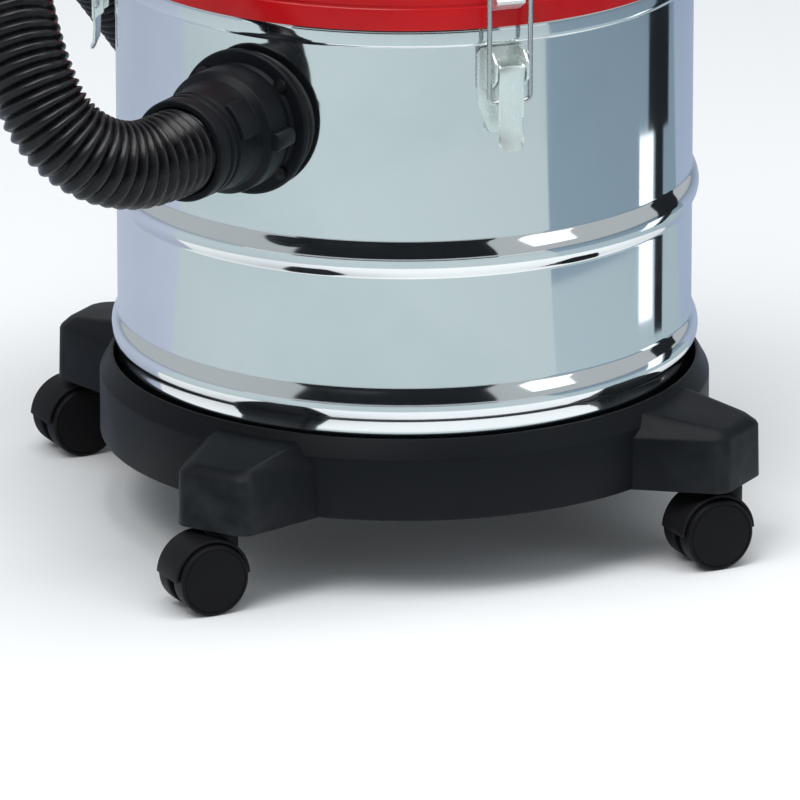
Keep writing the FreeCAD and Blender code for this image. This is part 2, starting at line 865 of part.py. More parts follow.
def make_head_skirt():
    body = new_body("head_skirt")
    d = dim
    wall = d["head_wall"]
    lip_out = d["drum_radius"] - d["drum_sheet"] - d["lip_gap"]
    lip_in = lip_out - d["lip_wall"]
    revolve(body, [
        (lip_in, d["head_base"] - d["locating_lip"]),
        (lip_out, d["head_base"] - d["locating_lip"]),
        (lip_out, d["head_base"]),
        (d["head_radius"], d["head_base"]),
        (d["head_radius"], d["head_band_top"], 3.0),
        (d["deck_radius"], d["deck_height"]),
        (d["cover_radius"] - d["deck_shelf"], d["deck_height"]),
        (d["cover_radius"] - d["deck_shelf"], d["deck_height"] - wall),
        (d["deck_radius"] - 2.0, d["deck_height"] - wall),
        (d["head_radius"] - wall, d["head_band_top"] - 1.0),
        (d["head_radius"] - wall, d["plate_height"] + d["plate_thick"]),
        (d["head_radius"] - wall, d["head_base"] + wall),
        (lip_in, d["head_base"] + wall),
    ])


def make_head_shell():
    d = dim
    body = new_body("motor_cover")
    wall = d["head_wall"] - 0.5
    revolve(body, [
        (d["cover_radius"], d["deck_height"]),
        (d["cover_radius"], d["cover_shoulder"], 7.0),
        (d["cover_flat"], d["cover_top"]),
        (0.0, d["cover_top"]),
        (0.0, d["cover_top"] - wall),
        (d["cover_flat"] - 1.0, d["cover_top"] - wall, -6.5),
        (d["cover_radius"] - wall, d["cover_shoulder"]),
        (d["cover_radius"] - wall, d["deck_height"]),
    ])
    hole = sketch_on(body, "XZ_Plane")
    disc(hole, 0.0, d["port_height"], d["blower_bore"])
    pocket(body, hole, d["cover_radius"] + 10.0, back=True)

    outer = cylinder(d["blower_outer"], d["blower_mouth"] - 90.0, (0, 90.0, d["port_height"]), Y_AXIS)
    bore = cylinder(d["blower_bore"], d["blower_mouth"] - 80.0, (0, 85.0, d["port_height"]), Y_AXIS)
    cover = cylinder(d["cover_radius"], 80.0, (0, 0, 320.0))
    node(cut(outer, bore, cover), "blower_port")

    seal_low = d["seal_height"]
    lip_out = d["drum_radius"] - d["drum_sheet"] - d["lip_gap"]
    seal_out = d["drum_radius"] + d["seal_overhang"]
    node(ring(seal_out, lip_out, d["head_base"] - seal_low, (0, 0, seal_low)), "head_gasket")

    gland_at = (d["gland_offset"], d["gland_reach"], d["gland_height"])
    node(ring(d["gland_radius"], d["gland_hole"], d["gland_length"], gland_at, Y_AXIS), "cable_gland")


def make_handle():
    d = dim
    span = d["handle_span"].value
    top = d["handle_rise"].value
    foot = d["deck_height"].value - 6.0
    route = [(-span, 0, foot), (-span + 4, 0, top - 40), (-span + 38, 0, top - 4), (0, 0, top + 1),
             (span - 38, 0, top - 4), (span - 4, 0, top - 40), (span, 0, foot)]
    wire, _ = path_with_arcs(route)
    feature(tube_along(wire, d["handle_radius"].value), "carry_handle")


def make_catches():
    """A sloped steel hook over each latch. The bail's bar rests on the slope."""
    d = dim
    hooks = []
    wire = d["wire_radius"].value
    reach = d["latch_pivot_reach"].value
    seat = d["catch_height"].value - (wire + 0.25) / math.cos(math.radians(CATCH_SLOPE))
    fall = math.tan(math.radians(CATCH_SLOPE))
    wall = d["head_radius"].value
    half = d["catch_half_width"].value
    for angle in LATCH_ANGLES:
        tip = reach + 2.2
        points = [
            (wall - 1.0, seat + fall * (reach - wall + 1.0)),
            (tip, seat - fall * (tip - reach)),
            (tip, seat - fall * (tip - reach) - 1.6),
            (wall - 1.0, seat - 9.0),
        ]
        corners = [Vector(x, -half, z) for x, z in points]
        face = Part.Face(Part.makePolygon(corners + [corners[0]]))
        hook = face.extrude(Vector(0, half * 2, 0))
        hook = hook.cut(Part.makeCylinder(wall, 60.0, Vector(0, 0, 270.0)))
        hooks.append(hook.rotate(Vector(), UP, angle))
    feature(Part.makeCompound(hooks), "head_catches")


def make_switch():
    d = dim
    top = d["cover_top"]
    middle = -d["switch_offset"]
    wide = d["rocker_half_width"]
    long = d["rocker_half_length"]
    border = d["switch_border"]
    frame = box((-(wide + border), middle - long - border, top),
                (wide + border, middle + long + border, top + d["switch_height"]))
    recess = box((-(wide + 0.4), middle - long - 1.3, top),
                 (wide + 0.4, middle + long + 1.3, top + d["switch_height"] + 1.0))
    node(cut(frame, recess), "switch_housing")
    rocker = box((-wide, middle - long, top + 2.6), (wide, middle + long, top + d["switch_height"] + 1.6))
    reach = wide + d["trunnion_reach"]
    trunnion = cylinder(d["trunnion_radius"], reach * 2.0, (-reach, middle, top + d["rocker_pivot"]), X_AXIS)
    node(fuse(rocker, trunnion), "switch_rocker")


# ---- Motor, fan and filter -------------------------------------------------------------------


def make_motor():
    d = dim
    low = d["plate_height"]
    thick = d["plate_thick"]
    deck = low + thick
    inner = d["head_radius"] - d["head_wall"]
    node(ring(inner, d["intake_radius"], thick, (0, 0, low)), "motor_plate")

    sheet = d["can_sheet"]
    can_top = deck + d["fan_can_height"]
    body = new_body("fan_housing")
    revolve(body, [
        (d["intake_radius"], deck),
        (d["fan_can_radius"], deck),
        (d["fan_can_radius"], can_top),
        (d["bearing_outer"], can_top),
        (d["bearing_outer"], can_top - sheet),
        (d["fan_can_radius"] - sheet, can_top - sheet),
        (d["fan_can_radius"] - sheet, deck + sheet),
        (d["intake_radius"], deck + sheet),
    ])

    motor = new_body("motor_housing")
    can_out = d["stator_outer"] + 2.5
    revolve(motor, [
        (d["stator_outer"], can_top),
        (can_out, can_top),
        (can_out, d["motor_can_top"]),
        (d["bearing_outer"], d["motor_can_top"]),
        (d["bearing_outer"], d["motor_can_top"] - d["bearing_height"]),
        (d["bearing_outer"] + 2.0, d["motor_can_top"] - d["bearing_height"]),
        (d["bearing_outer"] + 2.0, d["motor_can_top"] - 2.5),
        (d["stator_outer"], d["motor_can_top"] - 2.5),
    ])
    stator_low = can_top + 6.0
    node(ring(d["stator_outer"], d["stator_inner"], d["stator_height"], (0, 0, stator_low)), "motor_stator")
    races = []
    for height in (can_top - sheet, d["motor_can_top"] - d["bearing_height"]):
        races.append(ring(d["bearing_outer"], d["shaft_radius"], d["bearing_height"], (0, 0, height)))
    node(group(*races), "motor_bearings")

    shaft_low = deck + 4.0
    shaft = cylinder(d["shaft_radius"] - d["shaft_clearance"], d["motor_can_top"] - shaft_low - 1.0,
                     (0, 0, shaft_low))
    armature = cylinder(d["armature_radius"], d["stator_height"] - 2.0, (0, 0, stator_low + 1.0))
    node(fuse(shaft, armature), "rotor")

    wheel = new_body("impeller")
    fan_low = deck + d["fan_lift"]
    fan_top = fan_low + d["impeller_height"]
    shaft_out = d["shaft_radius"] - d["shaft_clearance"]
    revolve(wheel, [
        (shaft_out, fan_low),
        (shaft_out + d["fan_hub"], fan_low),
        (shaft_out + d["fan_hub"], fan_top - d["fan_disc"]),
        (d["impeller_radius"], fan_top - d["fan_disc"]),
        (d["impeller_radius"], fan_top),
        (shaft_out, fan_top),
    ])
    vane = sketch_on(wheel, "XY_Plane", fan_low)
    outline(vane, [
        (shaft_out + 5.0, -d["vane_half"]),
        (d["impeller_radius"] - 1.0, -d["vane_half"]),
        (d["impeller_radius"] - 1.0, d["vane_half"]),
        (shaft_out + 5.0, d["vane_half"]),
    ])
    polar(wheel, pad(wheel, vane, d["impeller_height"] - 1.0), 8)

    screws = []
    for angle in POD_ANGLES:
        tall = d["head_screw_height"]
        screw = cylinder(d["head_screw_radius"], tall, (d["head_screw_circle"], 0, low - tall))
        screws.append(turned(group(screw), angle + 45.0))
    node(group(*screws), "head_screws")


def make_filter():
    d = dim
    top = d["plate_height"]
    inner = d["cage_radius"] - d["cage_wall"]
    wall = ring(d["cage_radius"], inner, top - d["cage_bottom"], (0, 0, d["cage_bottom"]))
    base = ring(d["cage_radius"], d["cage_drain"], d["cage_wall"], (0, 0, d["cage_bottom"]))
    slots = []
    for count in range(4):
        half = d["cage_slot_half"]
        slot = box((-half, -(d["cage_radius"] + 2.0), d["cage_bottom"] + d["cage_slot_low"]),
                   (half, d["cage_radius"] + 2.0, top - d["cage_slot_high"]))
        slots.append(turned(group(slot), 45.0 * count))
    node(cut(fuse(wall, base), *slots), "float_cage")
    node(sphere(d["ball_radius"], (0, 0, d["ball_height"])), "float_ball")

    outer = d["cage_radius"] + d["foam_thick"]
    foam_top = top - d["ring_height"]
    node(ring(outer, d["cage_radius"], foam_top - d["foam_bottom"], (0, 0, d["foam_bottom"])), "foam_filter")
    rim = outer + d["ring_overhang"]
    node(ring(rim, d["cage_radius"], d["ring_height"], (0, 0, foam_top)), "filter_ring")


# ---- Build, check and write ------------------------------------------------------------------


def check_and_write():
    doc.recompute()
    for obj in doc.Objects:
        bad = [word for word in obj.State if word in ("Invalid", "Error")]
        if bad:
            raise RuntimeError(f"{obj.Name} ({obj.Label}) is {bad}")
    os.makedirs(PARTS_FOLDER, exist_ok=True)
    for obj in nodes:
        shape = obj.Shape
        if shape.isNull() or not shape.isValid() or not shape.Solids:
            raise RuntimeError(f"{obj.Label} has no valid solid")
        shape.exportStep(f"{PARTS_FOLDER}/{obj.Label}.step")
    print(len(nodes), "nodes written")


make_dolly()
for castor, pod_angle in enumerate(POD_ANGLES, start=1):
    make_castor(castor, pod_angle)
make_drum()
make_drum_screws()
make_inlet()
make_connector()
make_hose()
make_grip()
make_latches()
make_head_skirt()
make_head_shell()
make_handle()
make_catches()
make_switch()
make_motor()
make_filter()
check_and_write()
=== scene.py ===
import json
import math

import bmesh
import bpy
from mathutils import Matrix, Vector


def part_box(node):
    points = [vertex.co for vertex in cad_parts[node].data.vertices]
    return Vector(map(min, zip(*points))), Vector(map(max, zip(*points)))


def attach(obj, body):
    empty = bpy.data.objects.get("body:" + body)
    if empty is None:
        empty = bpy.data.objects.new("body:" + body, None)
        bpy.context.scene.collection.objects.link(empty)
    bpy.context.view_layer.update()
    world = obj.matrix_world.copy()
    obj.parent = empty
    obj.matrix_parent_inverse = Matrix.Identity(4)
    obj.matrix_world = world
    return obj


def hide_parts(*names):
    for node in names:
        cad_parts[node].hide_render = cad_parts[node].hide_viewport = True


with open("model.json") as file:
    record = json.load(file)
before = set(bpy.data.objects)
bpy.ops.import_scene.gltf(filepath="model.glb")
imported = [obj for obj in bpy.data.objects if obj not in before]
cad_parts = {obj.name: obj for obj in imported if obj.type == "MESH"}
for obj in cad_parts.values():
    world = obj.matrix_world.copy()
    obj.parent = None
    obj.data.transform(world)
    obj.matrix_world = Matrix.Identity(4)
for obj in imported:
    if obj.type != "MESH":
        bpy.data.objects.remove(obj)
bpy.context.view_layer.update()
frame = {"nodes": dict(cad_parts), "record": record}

# Wet and dry shop vacuum. Sizes are in millimetres until a mesh is made, which is in metres.
# +Z is up, the drum's axis is the Z axis and the hose inlet faces -Y.
MM = 0.001


def corners_of(node):
    low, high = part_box(node)
    return low / MM, high / MM


DRUM_LOW, DRUM_HIGH = corners_of("drum")
RIM_RISE = 3.6
RIM_SPAN = 12.0
DRUM_RADIUS = DRUM_HIGH.x - RIM_RISE
DRUM_BOTTOM = DRUM_LOW.z
DRUM_TOP = DRUM_HIGH.z
SHEET = 0.8
BEAD_RISE = 3.2
BEAD_SPAN = 22.0
BEAD_DROP = 2.0
BEAD_ABOVE = 9.5
BEAD_BELOW = 8.5
BEAD_HEIGHTS = (96.0, 169.0)
INLET_HEIGHT = 232.0
DOLLY_TURN = 2.0
POD_ANGLES = (2.0, 92.0, 182.0, 272.0)
LATCH_ANGLES = (-39.4, -159.4, 80.6)
CASTOR_HEADING = -32.6
CASTOR_CIRCLE = 178.0
WHEEL_RADIUS = 17.5
CASTOR_TRAIL = 9.5

HOSE_RADIUS = 21.0
HOSE_VALLEY = 18.7
HOSE_PITCH = 5.0
HOSE_ROUTE = [
    (0.000, -0.195, 0.232),
    (0.000, -0.213, 0.232),
    (-0.006, -0.235, 0.231),
    (-0.018, -0.254, 0.239),
    (-0.033, -0.263, 0.255),
    (-0.047, -0.262, 0.279),
    (-0.064, -0.251, 0.306),
    (-0.091, -0.224, 0.334),
    (-0.127, -0.182, 0.356),
    (-0.164, -0.128, 0.362),
    (-0.197, -0.069, 0.342),
    (-0.216, -0.008, 0.295),
    (-0.208, 0.050, 0.233),
    (-0.188, 0.100, 0.162),
    (-0.173, 0.148, 0.099),
    (-0.176, 0.198, 0.057),
    (-0.193, 0.246, 0.034),
    (-0.214, 0.290, 0.025),
    (-0.240, 0.332, 0.025),
    (-0.269, 0.370, 0.025),
]

# ---- Mesh helpers ----------------------------------------------------------------------------


def arc_point(start, stop, share):
    """The point part of the way round the short arc between two vectors of one length."""
    return start.normalized().slerp(stop.normalized(), share) * start.length


def rounded(points, radius=0.0, steps=4):
    """A closed outline of (x, y[, radius]) corners, with an arc at each corner."""
    path = []
    for i, point in enumerate(points):
        corner = Vector(point[:2])
        wanted = point[2] if len(point) > 2 else radius
        back = Vector(points[i - 1][:2]) - corner
        ahead = Vector(points[(i + 1) % len(points)][:2]) - corner
        half = back.angle(ahead) / 2
        if wanted <= 0 or half > math.radians(88):
            path.append(corner)
            continue
        reach = min(wanted / math.tan(half), 0.49 * back.length, 0.49 * ahead.length)
        towards = (back.normalized() + ahead.normalized()).normalized()
        centre = corner + towards * (reach / math.cos(half))
        start = corner + back.normalized() * reach - centre
        stop = corner + ahead.normalized() * reach - centre
        for step in range(steps + 1):
            path.append(centre + arc_point(start, stop, step / steps))
    return path


def skin(bm, rings, closed=False):
    """Faces between one ring of vertices and the next. A ring of one vertex is a pole."""
    pairs = list(zip(rings, rings[1:]))
    if closed:
        pairs.append((rings[-1], rings[0]))
    for a, b in pairs:
        count = max(len(a), len(b))
        if count < 2:
            continue
        for i in range(count):
            j = (i + 1) % count
            corners = [a[i % len(a)], a[j % len(a)], b[j % len(b)], b[i % len(b)]]
            unique = list(dict.fromkeys(corners))
            if len(unique) > 2:
                bm.faces.new(unique)


def capped(bm, rings):
    """Faces along the rings and one over each end."""
    skin(bm, rings)
    bm.faces.new(list(reversed(rings[0])))
    bm.faces.new(rings[-1])
    return bm


def turned(radius, height, turn, place):
    """A point of a profile, turned about Z by an angle in radians and moved by place. In metres."""
    return place @ (Vector((radius * math.cos(turn), radius * math.sin(turn), height)) * MM)


def lathe(profile, segments=96, place=Matrix()):
    """Turns (radius, height) points about Z, then moves the result by place."""
    bm = bmesh.new()
    rings = []
    for radius, height in profile:
        count = segments if radius > 0 else 1
        turns = [math.tau * k / segments for k in range(count)]
        rings.append([bm.verts.new(turned(radius, height, turn, place)) for turn in turns])
    skin(bm, rings, len(rings[0]) > 1 and len(rings[-1]) > 1)
    return bm


def half_turned(profile, start, stop, place, steps=48):
    """Part of a turned piece, from one angle to another in degrees, closed at both ends."""
    bm = bmesh.new()
    turns = [math.radians(start + (stop - start) * k / steps) for k in range(steps + 1)]
    return capped(bm, [[bm.verts.new(turned(*spot, turn, place)) for spot in profile] for turn in turns])


def stack(layers, place=Matrix()):
    """Joins outlines of (x, y, z) points, all with the same count, and closes both ends."""
    bm = bmesh.new()
    return capped(bm, [[bm.verts.new(place @ (Vector(p) * MM)) for p in layer] for layer in layers])


def slab(outline, low, high, place=Matrix()):
    """Gives an outline of (x, y) points a thickness from low to high along Z."""
    return stack([[(p[0], p[1], height) for p in outline] for height in (low, high)], place)


def path_length(points):
    return sum((b - a).length for a, b in zip(points, points[1:]))


def frames_along(points):
    """The point, side and up at each point of a path, carried along it without twist."""
    last = len(points) - 1
    tangents = []
    for i in range(len(points)):
        ahead = points[min(i + 1, last)] - points[max(i - 1, 0)]
        tangents.append(ahead.normalized())
    side = tangents[0].orthogonal().normalized()
    frames = []
    for i, tangent in enumerate(tangents):
        if i:
            side = tangents[i - 1].rotation_difference(tangent) @ side
            side = (side - tangent * side.dot(tangent)).normalized()
        frames.append((points[i], side, tangent.cross(side)))
    return frames


def along(points, distances):
    """Points in metres at these distances along a path, running straight on past its ends."""
    lengths = [0.0]
    for a, b in zip(points, points[1:]):
        lengths.append(lengths[-1] + (b - a).length)
    found = []
    for distance in distances:
        index = 0
        while index < len(points) - 2 and lengths[index + 1] < distance:
            index += 1
        run = lengths[index + 1] - lengths[index]
        share = (distance - lengths[index]) / run
        found.append(points[index].lerp(points[index + 1], share))
    return found


def circle(bm, point, side, up, radius, segments):
    """A ring of vertices round a point, in metres."""
    turns = [math.tau * k / segments for k in range(segments)]
    return [bm.verts.new(point + (side * math.cos(turn) + up * math.sin(turn)) * radius) for turn in turns]


def sweep(points, radii, segments):
    """A closed tube in metres, with its own radius at each point."""
    bm = bmesh.new()
    rings = [circle(bm, *spot, radius, segments) for radius, spot in zip(radii, frames_along(points))]
    return capped(bm, rings)


def turn_along(path, profile, segments=64):
    """A hollow turned piece whose axis follows a path. The profile is closed (distance, radius)."""
    stations = sorted(set(round(distance, 4) for distance, _ in profile))
    spots = frames_along(along(path, [distance * MM for distance in stations]))
    place = dict(zip(stations, spots))
    bm = bmesh.new()
    rings = [circle(bm, *place[round(distance, 4)], radius * MM, segments) for distance, radius in profile]
    skin(bm, rings, closed=True)
    return bm


def placed(name, data):
    """A new object in the scene."""
    obj = bpy.data.objects.new(name, data)
    bpy.context.scene.collection.objects.link(obj)
    return obj


def spline_line(route, resolution):
    """The points of a quadratic NURBS spline along a route in metres, read from its mesh."""
    curve = bpy.data.curves.new("route", "CURVE")
    curve.dimensions = "3D"
    curve.resolution_u = resolution
    spline = curve.splines.new("NURBS")
    spline.points.add(len(route) - 1)
    for point, spot in zip(spline.points, route):
        point.co = (*spot, 1.0)
    spline.order_u = 3
    spline.use_endpoint_u = True
    holder = placed("route", curve)
    bpy.context.view_layer.update()
    graph = bpy.context.evaluated_depsgraph_get()
    mesh = bpy.data.meshes.new_from_object(holder.evaluated_get(graph))
    points = [vert.co.copy() for vert in mesh.vertices]
    bpy.data.meshes.remove(mesh)
    bpy.data.curves.remove(curve)
    return points


def join(*meshes):
    """Puts several bmeshes into the first."""
    base = meshes[0]
    for bm in meshes[1:]:
        copies = {vert: base.verts.new(vert.co) for vert in bm.verts}
        for face in bm.faces:
            base.faces.new([copies[vert] for vert in face.verts])
        bm.free()
    return base


def moved(bm, matrix):
    bm.transform(matrix)
    return bm


def temporary(bm):
    mesh = bpy.data.meshes.new("temporary")
    bmesh.ops.recalc_face_normals(bm, faces=bm.faces)
    bm.to_mesh(mesh)
    bm.free()
    return placed("temporary", mesh)


def evaluated(obj):
    """The mesh of a temporary object with its modifiers, as a bmesh. The object is removed."""
    graph = bpy.context.evaluated_depsgraph_get()
    mesh = bpy.data.meshes.new_from_object(obj.evaluated_get(graph))
    bm = bmesh.new()
    bm.from_mesh(mesh)
    bpy.data.meshes.remove(mesh)
    bpy.data.meshes.remove(obj.data)
    return bm


def combine(base, tool, operation="DIFFERENCE"):
    """A boolean of two bmeshes. Both are used up."""
    base_object = temporary(base)
    tool_object = temporary(tool)
    step = base_object.modifiers.new("boolean", "BOOLEAN")
    step.operation = operation
    step.solver = "EXACT"
    step.object = tool_object
    result = evaluated(base_object)
    bpy.data.meshes.remove(tool_object.data)
    return result


def soften(bm, width, steps=2, over=30.0):
    """Rounds the edges that turn by more than over degrees."""
    bmesh.ops.recalc_face_normals(bm, faces=bm.faces)
    edges = [e for e in bm.edges if len(e.link_faces) == 2 and e.calc_face_angle() > math.radians(over)]
    bmesh.ops.bevel(
        bm, geom=edges, offset=width * MM, segments=steps, affect="EDGES", profile=0.6, clamp_overlap=True
    )
    return bm


def piece(name, bm, body, slot, replaces, crease=38.0, even=False, finish=None):
    """A finished piece that rides on a CAD body. Its material is its slot's unless a finish is given."""
    bmesh.ops.remove_doubles(bm, verts=bm.verts, dist=1e-7)
    bmesh.ops.recalc_face_normals(bm, faces=bm.faces)
    mesh = bpy.data.meshes.new(name)
    bm.to_mesh(mesh)
    bm.free()
    mesh.polygons.foreach_set("use_smooth", [True] * len(mesh.polygons))
    mesh.set_sharp_from_angle(angle=math.radians(crease))
    mesh.materials.append(MATERIALS[finish or slot])
    obj = placed(name, mesh)
    if even:
        weights = obj.modifiers.new("weighted normals", "WEIGHTED_NORMAL")
        weights.keep_sharp = True
    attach(obj, body)
    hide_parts(*replaces)
    return obj


def about(angle, at=(0, 0, 0)):
    """A turn about Z in degrees, then a move in millimetres."""
    return Matrix.Translation(Vector(at) * MM) @ Matrix.Rotation(math.radians(angle), 4, "Z")


def facing(direction, at):
    """Carries the Z axis to a direction and the origin to a point in millimetres."""
    turn = Vector((0, 0, 1)).rotation_difference(Vector(direction)).to_matrix().to_4x4()
    return Matrix.Translation(Vector(at) * MM) @ turn


INLET = Matrix.Translation((0, 0, INLET_HEIGHT * MM)) @ Matrix.Rotation(math.radians(90), 4, "X")
ALONG_X = Matrix.Rotation(math.radians(90), 4, "Y")
# UPRIGHT stands an outline up: its x becomes Y, its y becomes height and its thickness is along X.
UPRIGHT = Matrix(((0, 0, 1, 0), (1, 0, 0, 0), (0, 1, 0, 0), (0, 0, 0, 1)))
# EDGE_ON keeps an outline's x, turns its y into height and lays its thickness along Y.
EDGE_ON = Matrix(((1, 0, 0, 0), (0, 0, 1, 0), (0, 1, 0, 0), (0, 0, 0, 1)))

# ---- Materials -------------------------------------------------------------------------------


class Paint:
    """A node material round one Principled shader, patterned in object space."""

    def __init__(self, name, **uniform):
        self.material = bpy.data.materials.new(name)
        self.material.use_nodes = True
        self.tree = self.material.node_tree
        self.shader = self.tree.nodes["Principled BSDF"]
        self.place = self.tree.nodes.new("ShaderNodeTexCoord").outputs["Object"]
        self.fill(self.shader, uniform)

    def fill(self, node, values):
        for socket, value in values.items():
            node.inputs[socket.replace("_", " ")].default_value = value
        return node

    def node(self, kind, **values):
        """A new node with values for some of its inputs."""
        return self.fill(self.tree.nodes.new("ShaderNode" + kind), values)

    def feed(self, value, socket):
        if isinstance(value, bpy.types.NodeSocket):
            self.tree.links.new(value, socket)
        else:
            socket.default_value = value

    def link(self, source, node, socket):
        self.tree.links.new(source, node.inputs[socket])

    def noise(self, scale, detail=4.0, rough=0.55, stretch=(1, 1, 1)):
        mapping = self.node("Mapping", Scale=stretch)
        self.link(self.place, mapping, "Vector")
        node = self.node("TexNoise", Scale=scale, Detail=detail, Roughness=rough)
        self.link(mapping.outputs["Vector"], node, "Vector")
        return node.outputs["Fac"]

    def cells(self, scale):
        node = self.node("TexVoronoi", Scale=scale)
        self.link(self.place, node, "Vector")
        return node.outputs["Distance"]

    def edges(self, low, high):
        """1 where the surface is sharply convex, 0 where it is flat."""
        geometry = self.node("NewGeometry")
        return self.spread(geometry.outputs["Pointiness"], low, high)

    def spread(self, source, low, high, to_low=0.0, to_high=1.0):
        node = self.node("MapRange", From_Min=low, From_Max=high, To_Min=to_low, To_Max=to_high)
        self.link(source, node, "Value")
        return node.outputs["Result"]

    def blend(self, factor, a, b):
        node = self.node("Mix")
        node.data_type = "RGBA"
        for value, socket in ((factor, "Factor"), (a, "A"), (b, "B")):
            self.feed(value, next(s for s in node.inputs if s.name == socket and s.enabled))
        return next(s for s in node.outputs if s.enabled)

    def multiply(self, a, b):
        node = self.node("Math")
        node.operation = "MULTIPLY"
        self.feed(a, node.inputs[0])
        self.feed(b, node.inputs[1])
        return node.outputs["Value"]

    def colour(self, source):
        self.link(source, self.shader, "Base Color")

    def roughness(self, source):
        self.link(source, self.shader, "Roughness")

    def bump(self, source, distance, strength=1.0, under=None):
        node = self.node("Bump", Strength=strength, Distance=distance * MM)
        self.link(source, node, "Height")
        if under:
            self.link(under, node, "Normal")
        self.link(node.outputs["Normal"], self.shader, "Normal")
        return node.outputs["Normal"]


def grey(value, warm=0.0):
    return (value * (1 + warm), value, value * (1 - warm), 1.0)


def polished_steel():
    """Bright rolled stainless sheet: faint rolling lines, smudges and a slow wave in the sheet."""
    paint = Paint("polished_steel", Metallic=1.0)
    smudge = paint.noise(9.0, 5.0, 0.6)
    lines = paint.noise(60.0, 3.0, 0.6, (1, 1, 40))
    clean = (0.83, 0.86, 0.87, 1.0)
    dull = (0.76, 0.80, 0.82, 1.0)
    paint.colour(paint.blend(paint.spread(smudge, 0.45, 0.7), clean, dull))
    haze = paint.spread(smudge, 0.35, 0.75, 0.05, 0.12)
    paint.roughness(haze)
    wave = paint.bump(paint.noise(14.0, 1.0, 0.4, (1, 1, 0.35)), 0.35, 0.35)
    paint.bump(lines, 0.004, 0.12, wave)
    return paint.material


def zinc_steel():
    """Bright zinc plate on a stamping: crystalline mottling, a cool green cast and rubbed edges."""
    paint = Paint("zinc_steel", Metallic=0.75)
    grain = paint.noise(240.0, 3.0, 0.6)
    patch = paint.noise(30.0, 2.0, 0.5)
    tint = paint.blend(paint.spread(patch, 0.35, 0.7), (0.84, 0.93, 0.90, 1), (0.90, 0.95, 0.95, 1))
    paint.colour(paint.blend(paint.edges(0.52, 0.62), tint, (0.93, 0.95, 0.94, 1)))
    paint.roughness(paint.spread(grain, 0.3, 0.7, 0.24, 0.36))
    paint.bump(grain, 0.008, 0.2)
    return paint.material


def drawn_steel(name, metal, scale, tones, rough):
    """Steel wire, pins and screws, with fine draw marks."""
    paint = Paint(name, Metallic=metal)
    grain = paint.noise(scale, 3.0, 0.6)
    paint.colour(paint.blend(paint.spread(grain, 0.4, 0.7), *tones))
    paint.roughness(paint.spread(grain, 0.3, 0.7, *rough))
    paint.bump(grain, 0.01, 0.3)
    return paint.material


def moulded(name, colour, worn, rough=(0.36, 0.52), grain=900.0, depth=0.05, coat=0.0, shine=0.12):
    """Injection-moulded plastic: spark-eroded grain, flow variation and scuffed edges."""
    paint = Paint(name, Coat_Weight=coat, Coat_Roughness=0.15, Specular_IOR_Level=shine)
    texture = paint.noise(grain, 3.0, 0.6)
    flow = paint.noise(12.0, 4.0, 0.55)
    deep = tuple(channel * 0.82 for channel in colour[:3]) + (1.0,)
    base = paint.blend(paint.spread(flow, 0.35, 0.7), deep, colour)
    scuff = paint.multiply(paint.edges(0.51, 0.60), paint.spread(paint.noise(80.0), 0.35, 0.65, 0.2, 1.0))
    paint.colour(paint.blend(scuff, base, worn))
    paint.roughness(paint.spread(flow, 0.3, 0.75, *rough))
    paint.bump(texture, depth, 0.5)
    return paint.material


def hose_plastic():
    """Glossy corrugated polyethylene: patchy dust, a painted highlight lightening each rib crest, and a
    fine extruded grain.
    """
    paint = Paint("hose_plastic", Specular_IOR_Level=0.27)
    dust = paint.noise(160.0, 4.0, 0.6)
    black, dusty = (0.003, 0.003, 0.0035, 1), (0.007, 0.007, 0.008, 1)
    base = paint.blend(paint.spread(dust, 0.35, 0.7), black, dusty)
    # Painted highlight: the convex rib crests are coloured lighter than the valleys.
    crest = paint.edges(0.50, 0.58)
    paint.colour(paint.blend(crest, base, (0.018, 0.018, 0.021, 1)))
    paint.roughness(paint.spread(dust, 0.3, 0.75, 0.16, 0.34))
    paint.bump(paint.noise(500.0, 2.0), 0.03, 0.4)
    return paint.material


def foam():
    """Open-cell filter foam, with painted shade darkening the middle of each pore."""
    paint = Paint("foam", Roughness=0.95)
    pores = paint.cells(700.0)
    hollow, strut = (0.006, 0.006, 0.007, 1), (0.05, 0.05, 0.055, 1)
    # Painted shade: the hollow of each pore is coloured darker than the struts round it.
    paint.colour(paint.blend(paint.spread(pores, 0.0, 0.6), hollow, strut))
    paint.bump(pores, 0.9, 0.9)
    return paint.material


def laminated_steel():
    """A stack of stamped sheets, seen as fine lines round the core."""
    paint = Paint("laminated_steel", Metallic=1.0)
    lines = paint.noise(30.0, 1.0, 0.5, (0.02, 0.02, 60))
    paint.colour(paint.blend(paint.spread(lines, 0.4, 0.6), grey(0.16), grey(0.42)))
    paint.roughness(paint.spread(lines, 0.3, 0.7, 0.35, 0.6))
    paint.bump(lines, 0.1, 0.6)
    return paint.material


def rubber():
    """Matt black rubber with bloom."""
    paint = Paint("rubber")
    bloom = paint.noise(40.0, 5.0, 0.6)
    paint.colour(paint.blend(paint.spread(bloom, 0.4, 0.75), grey(0.012), grey(0.035)))
    paint.roughness(paint.spread(bloom, 0.3, 0.75, 0.6, 0.8))
    paint.bump(paint.noise(700.0, 2.0), 0.04, 0.5)
    return paint.material


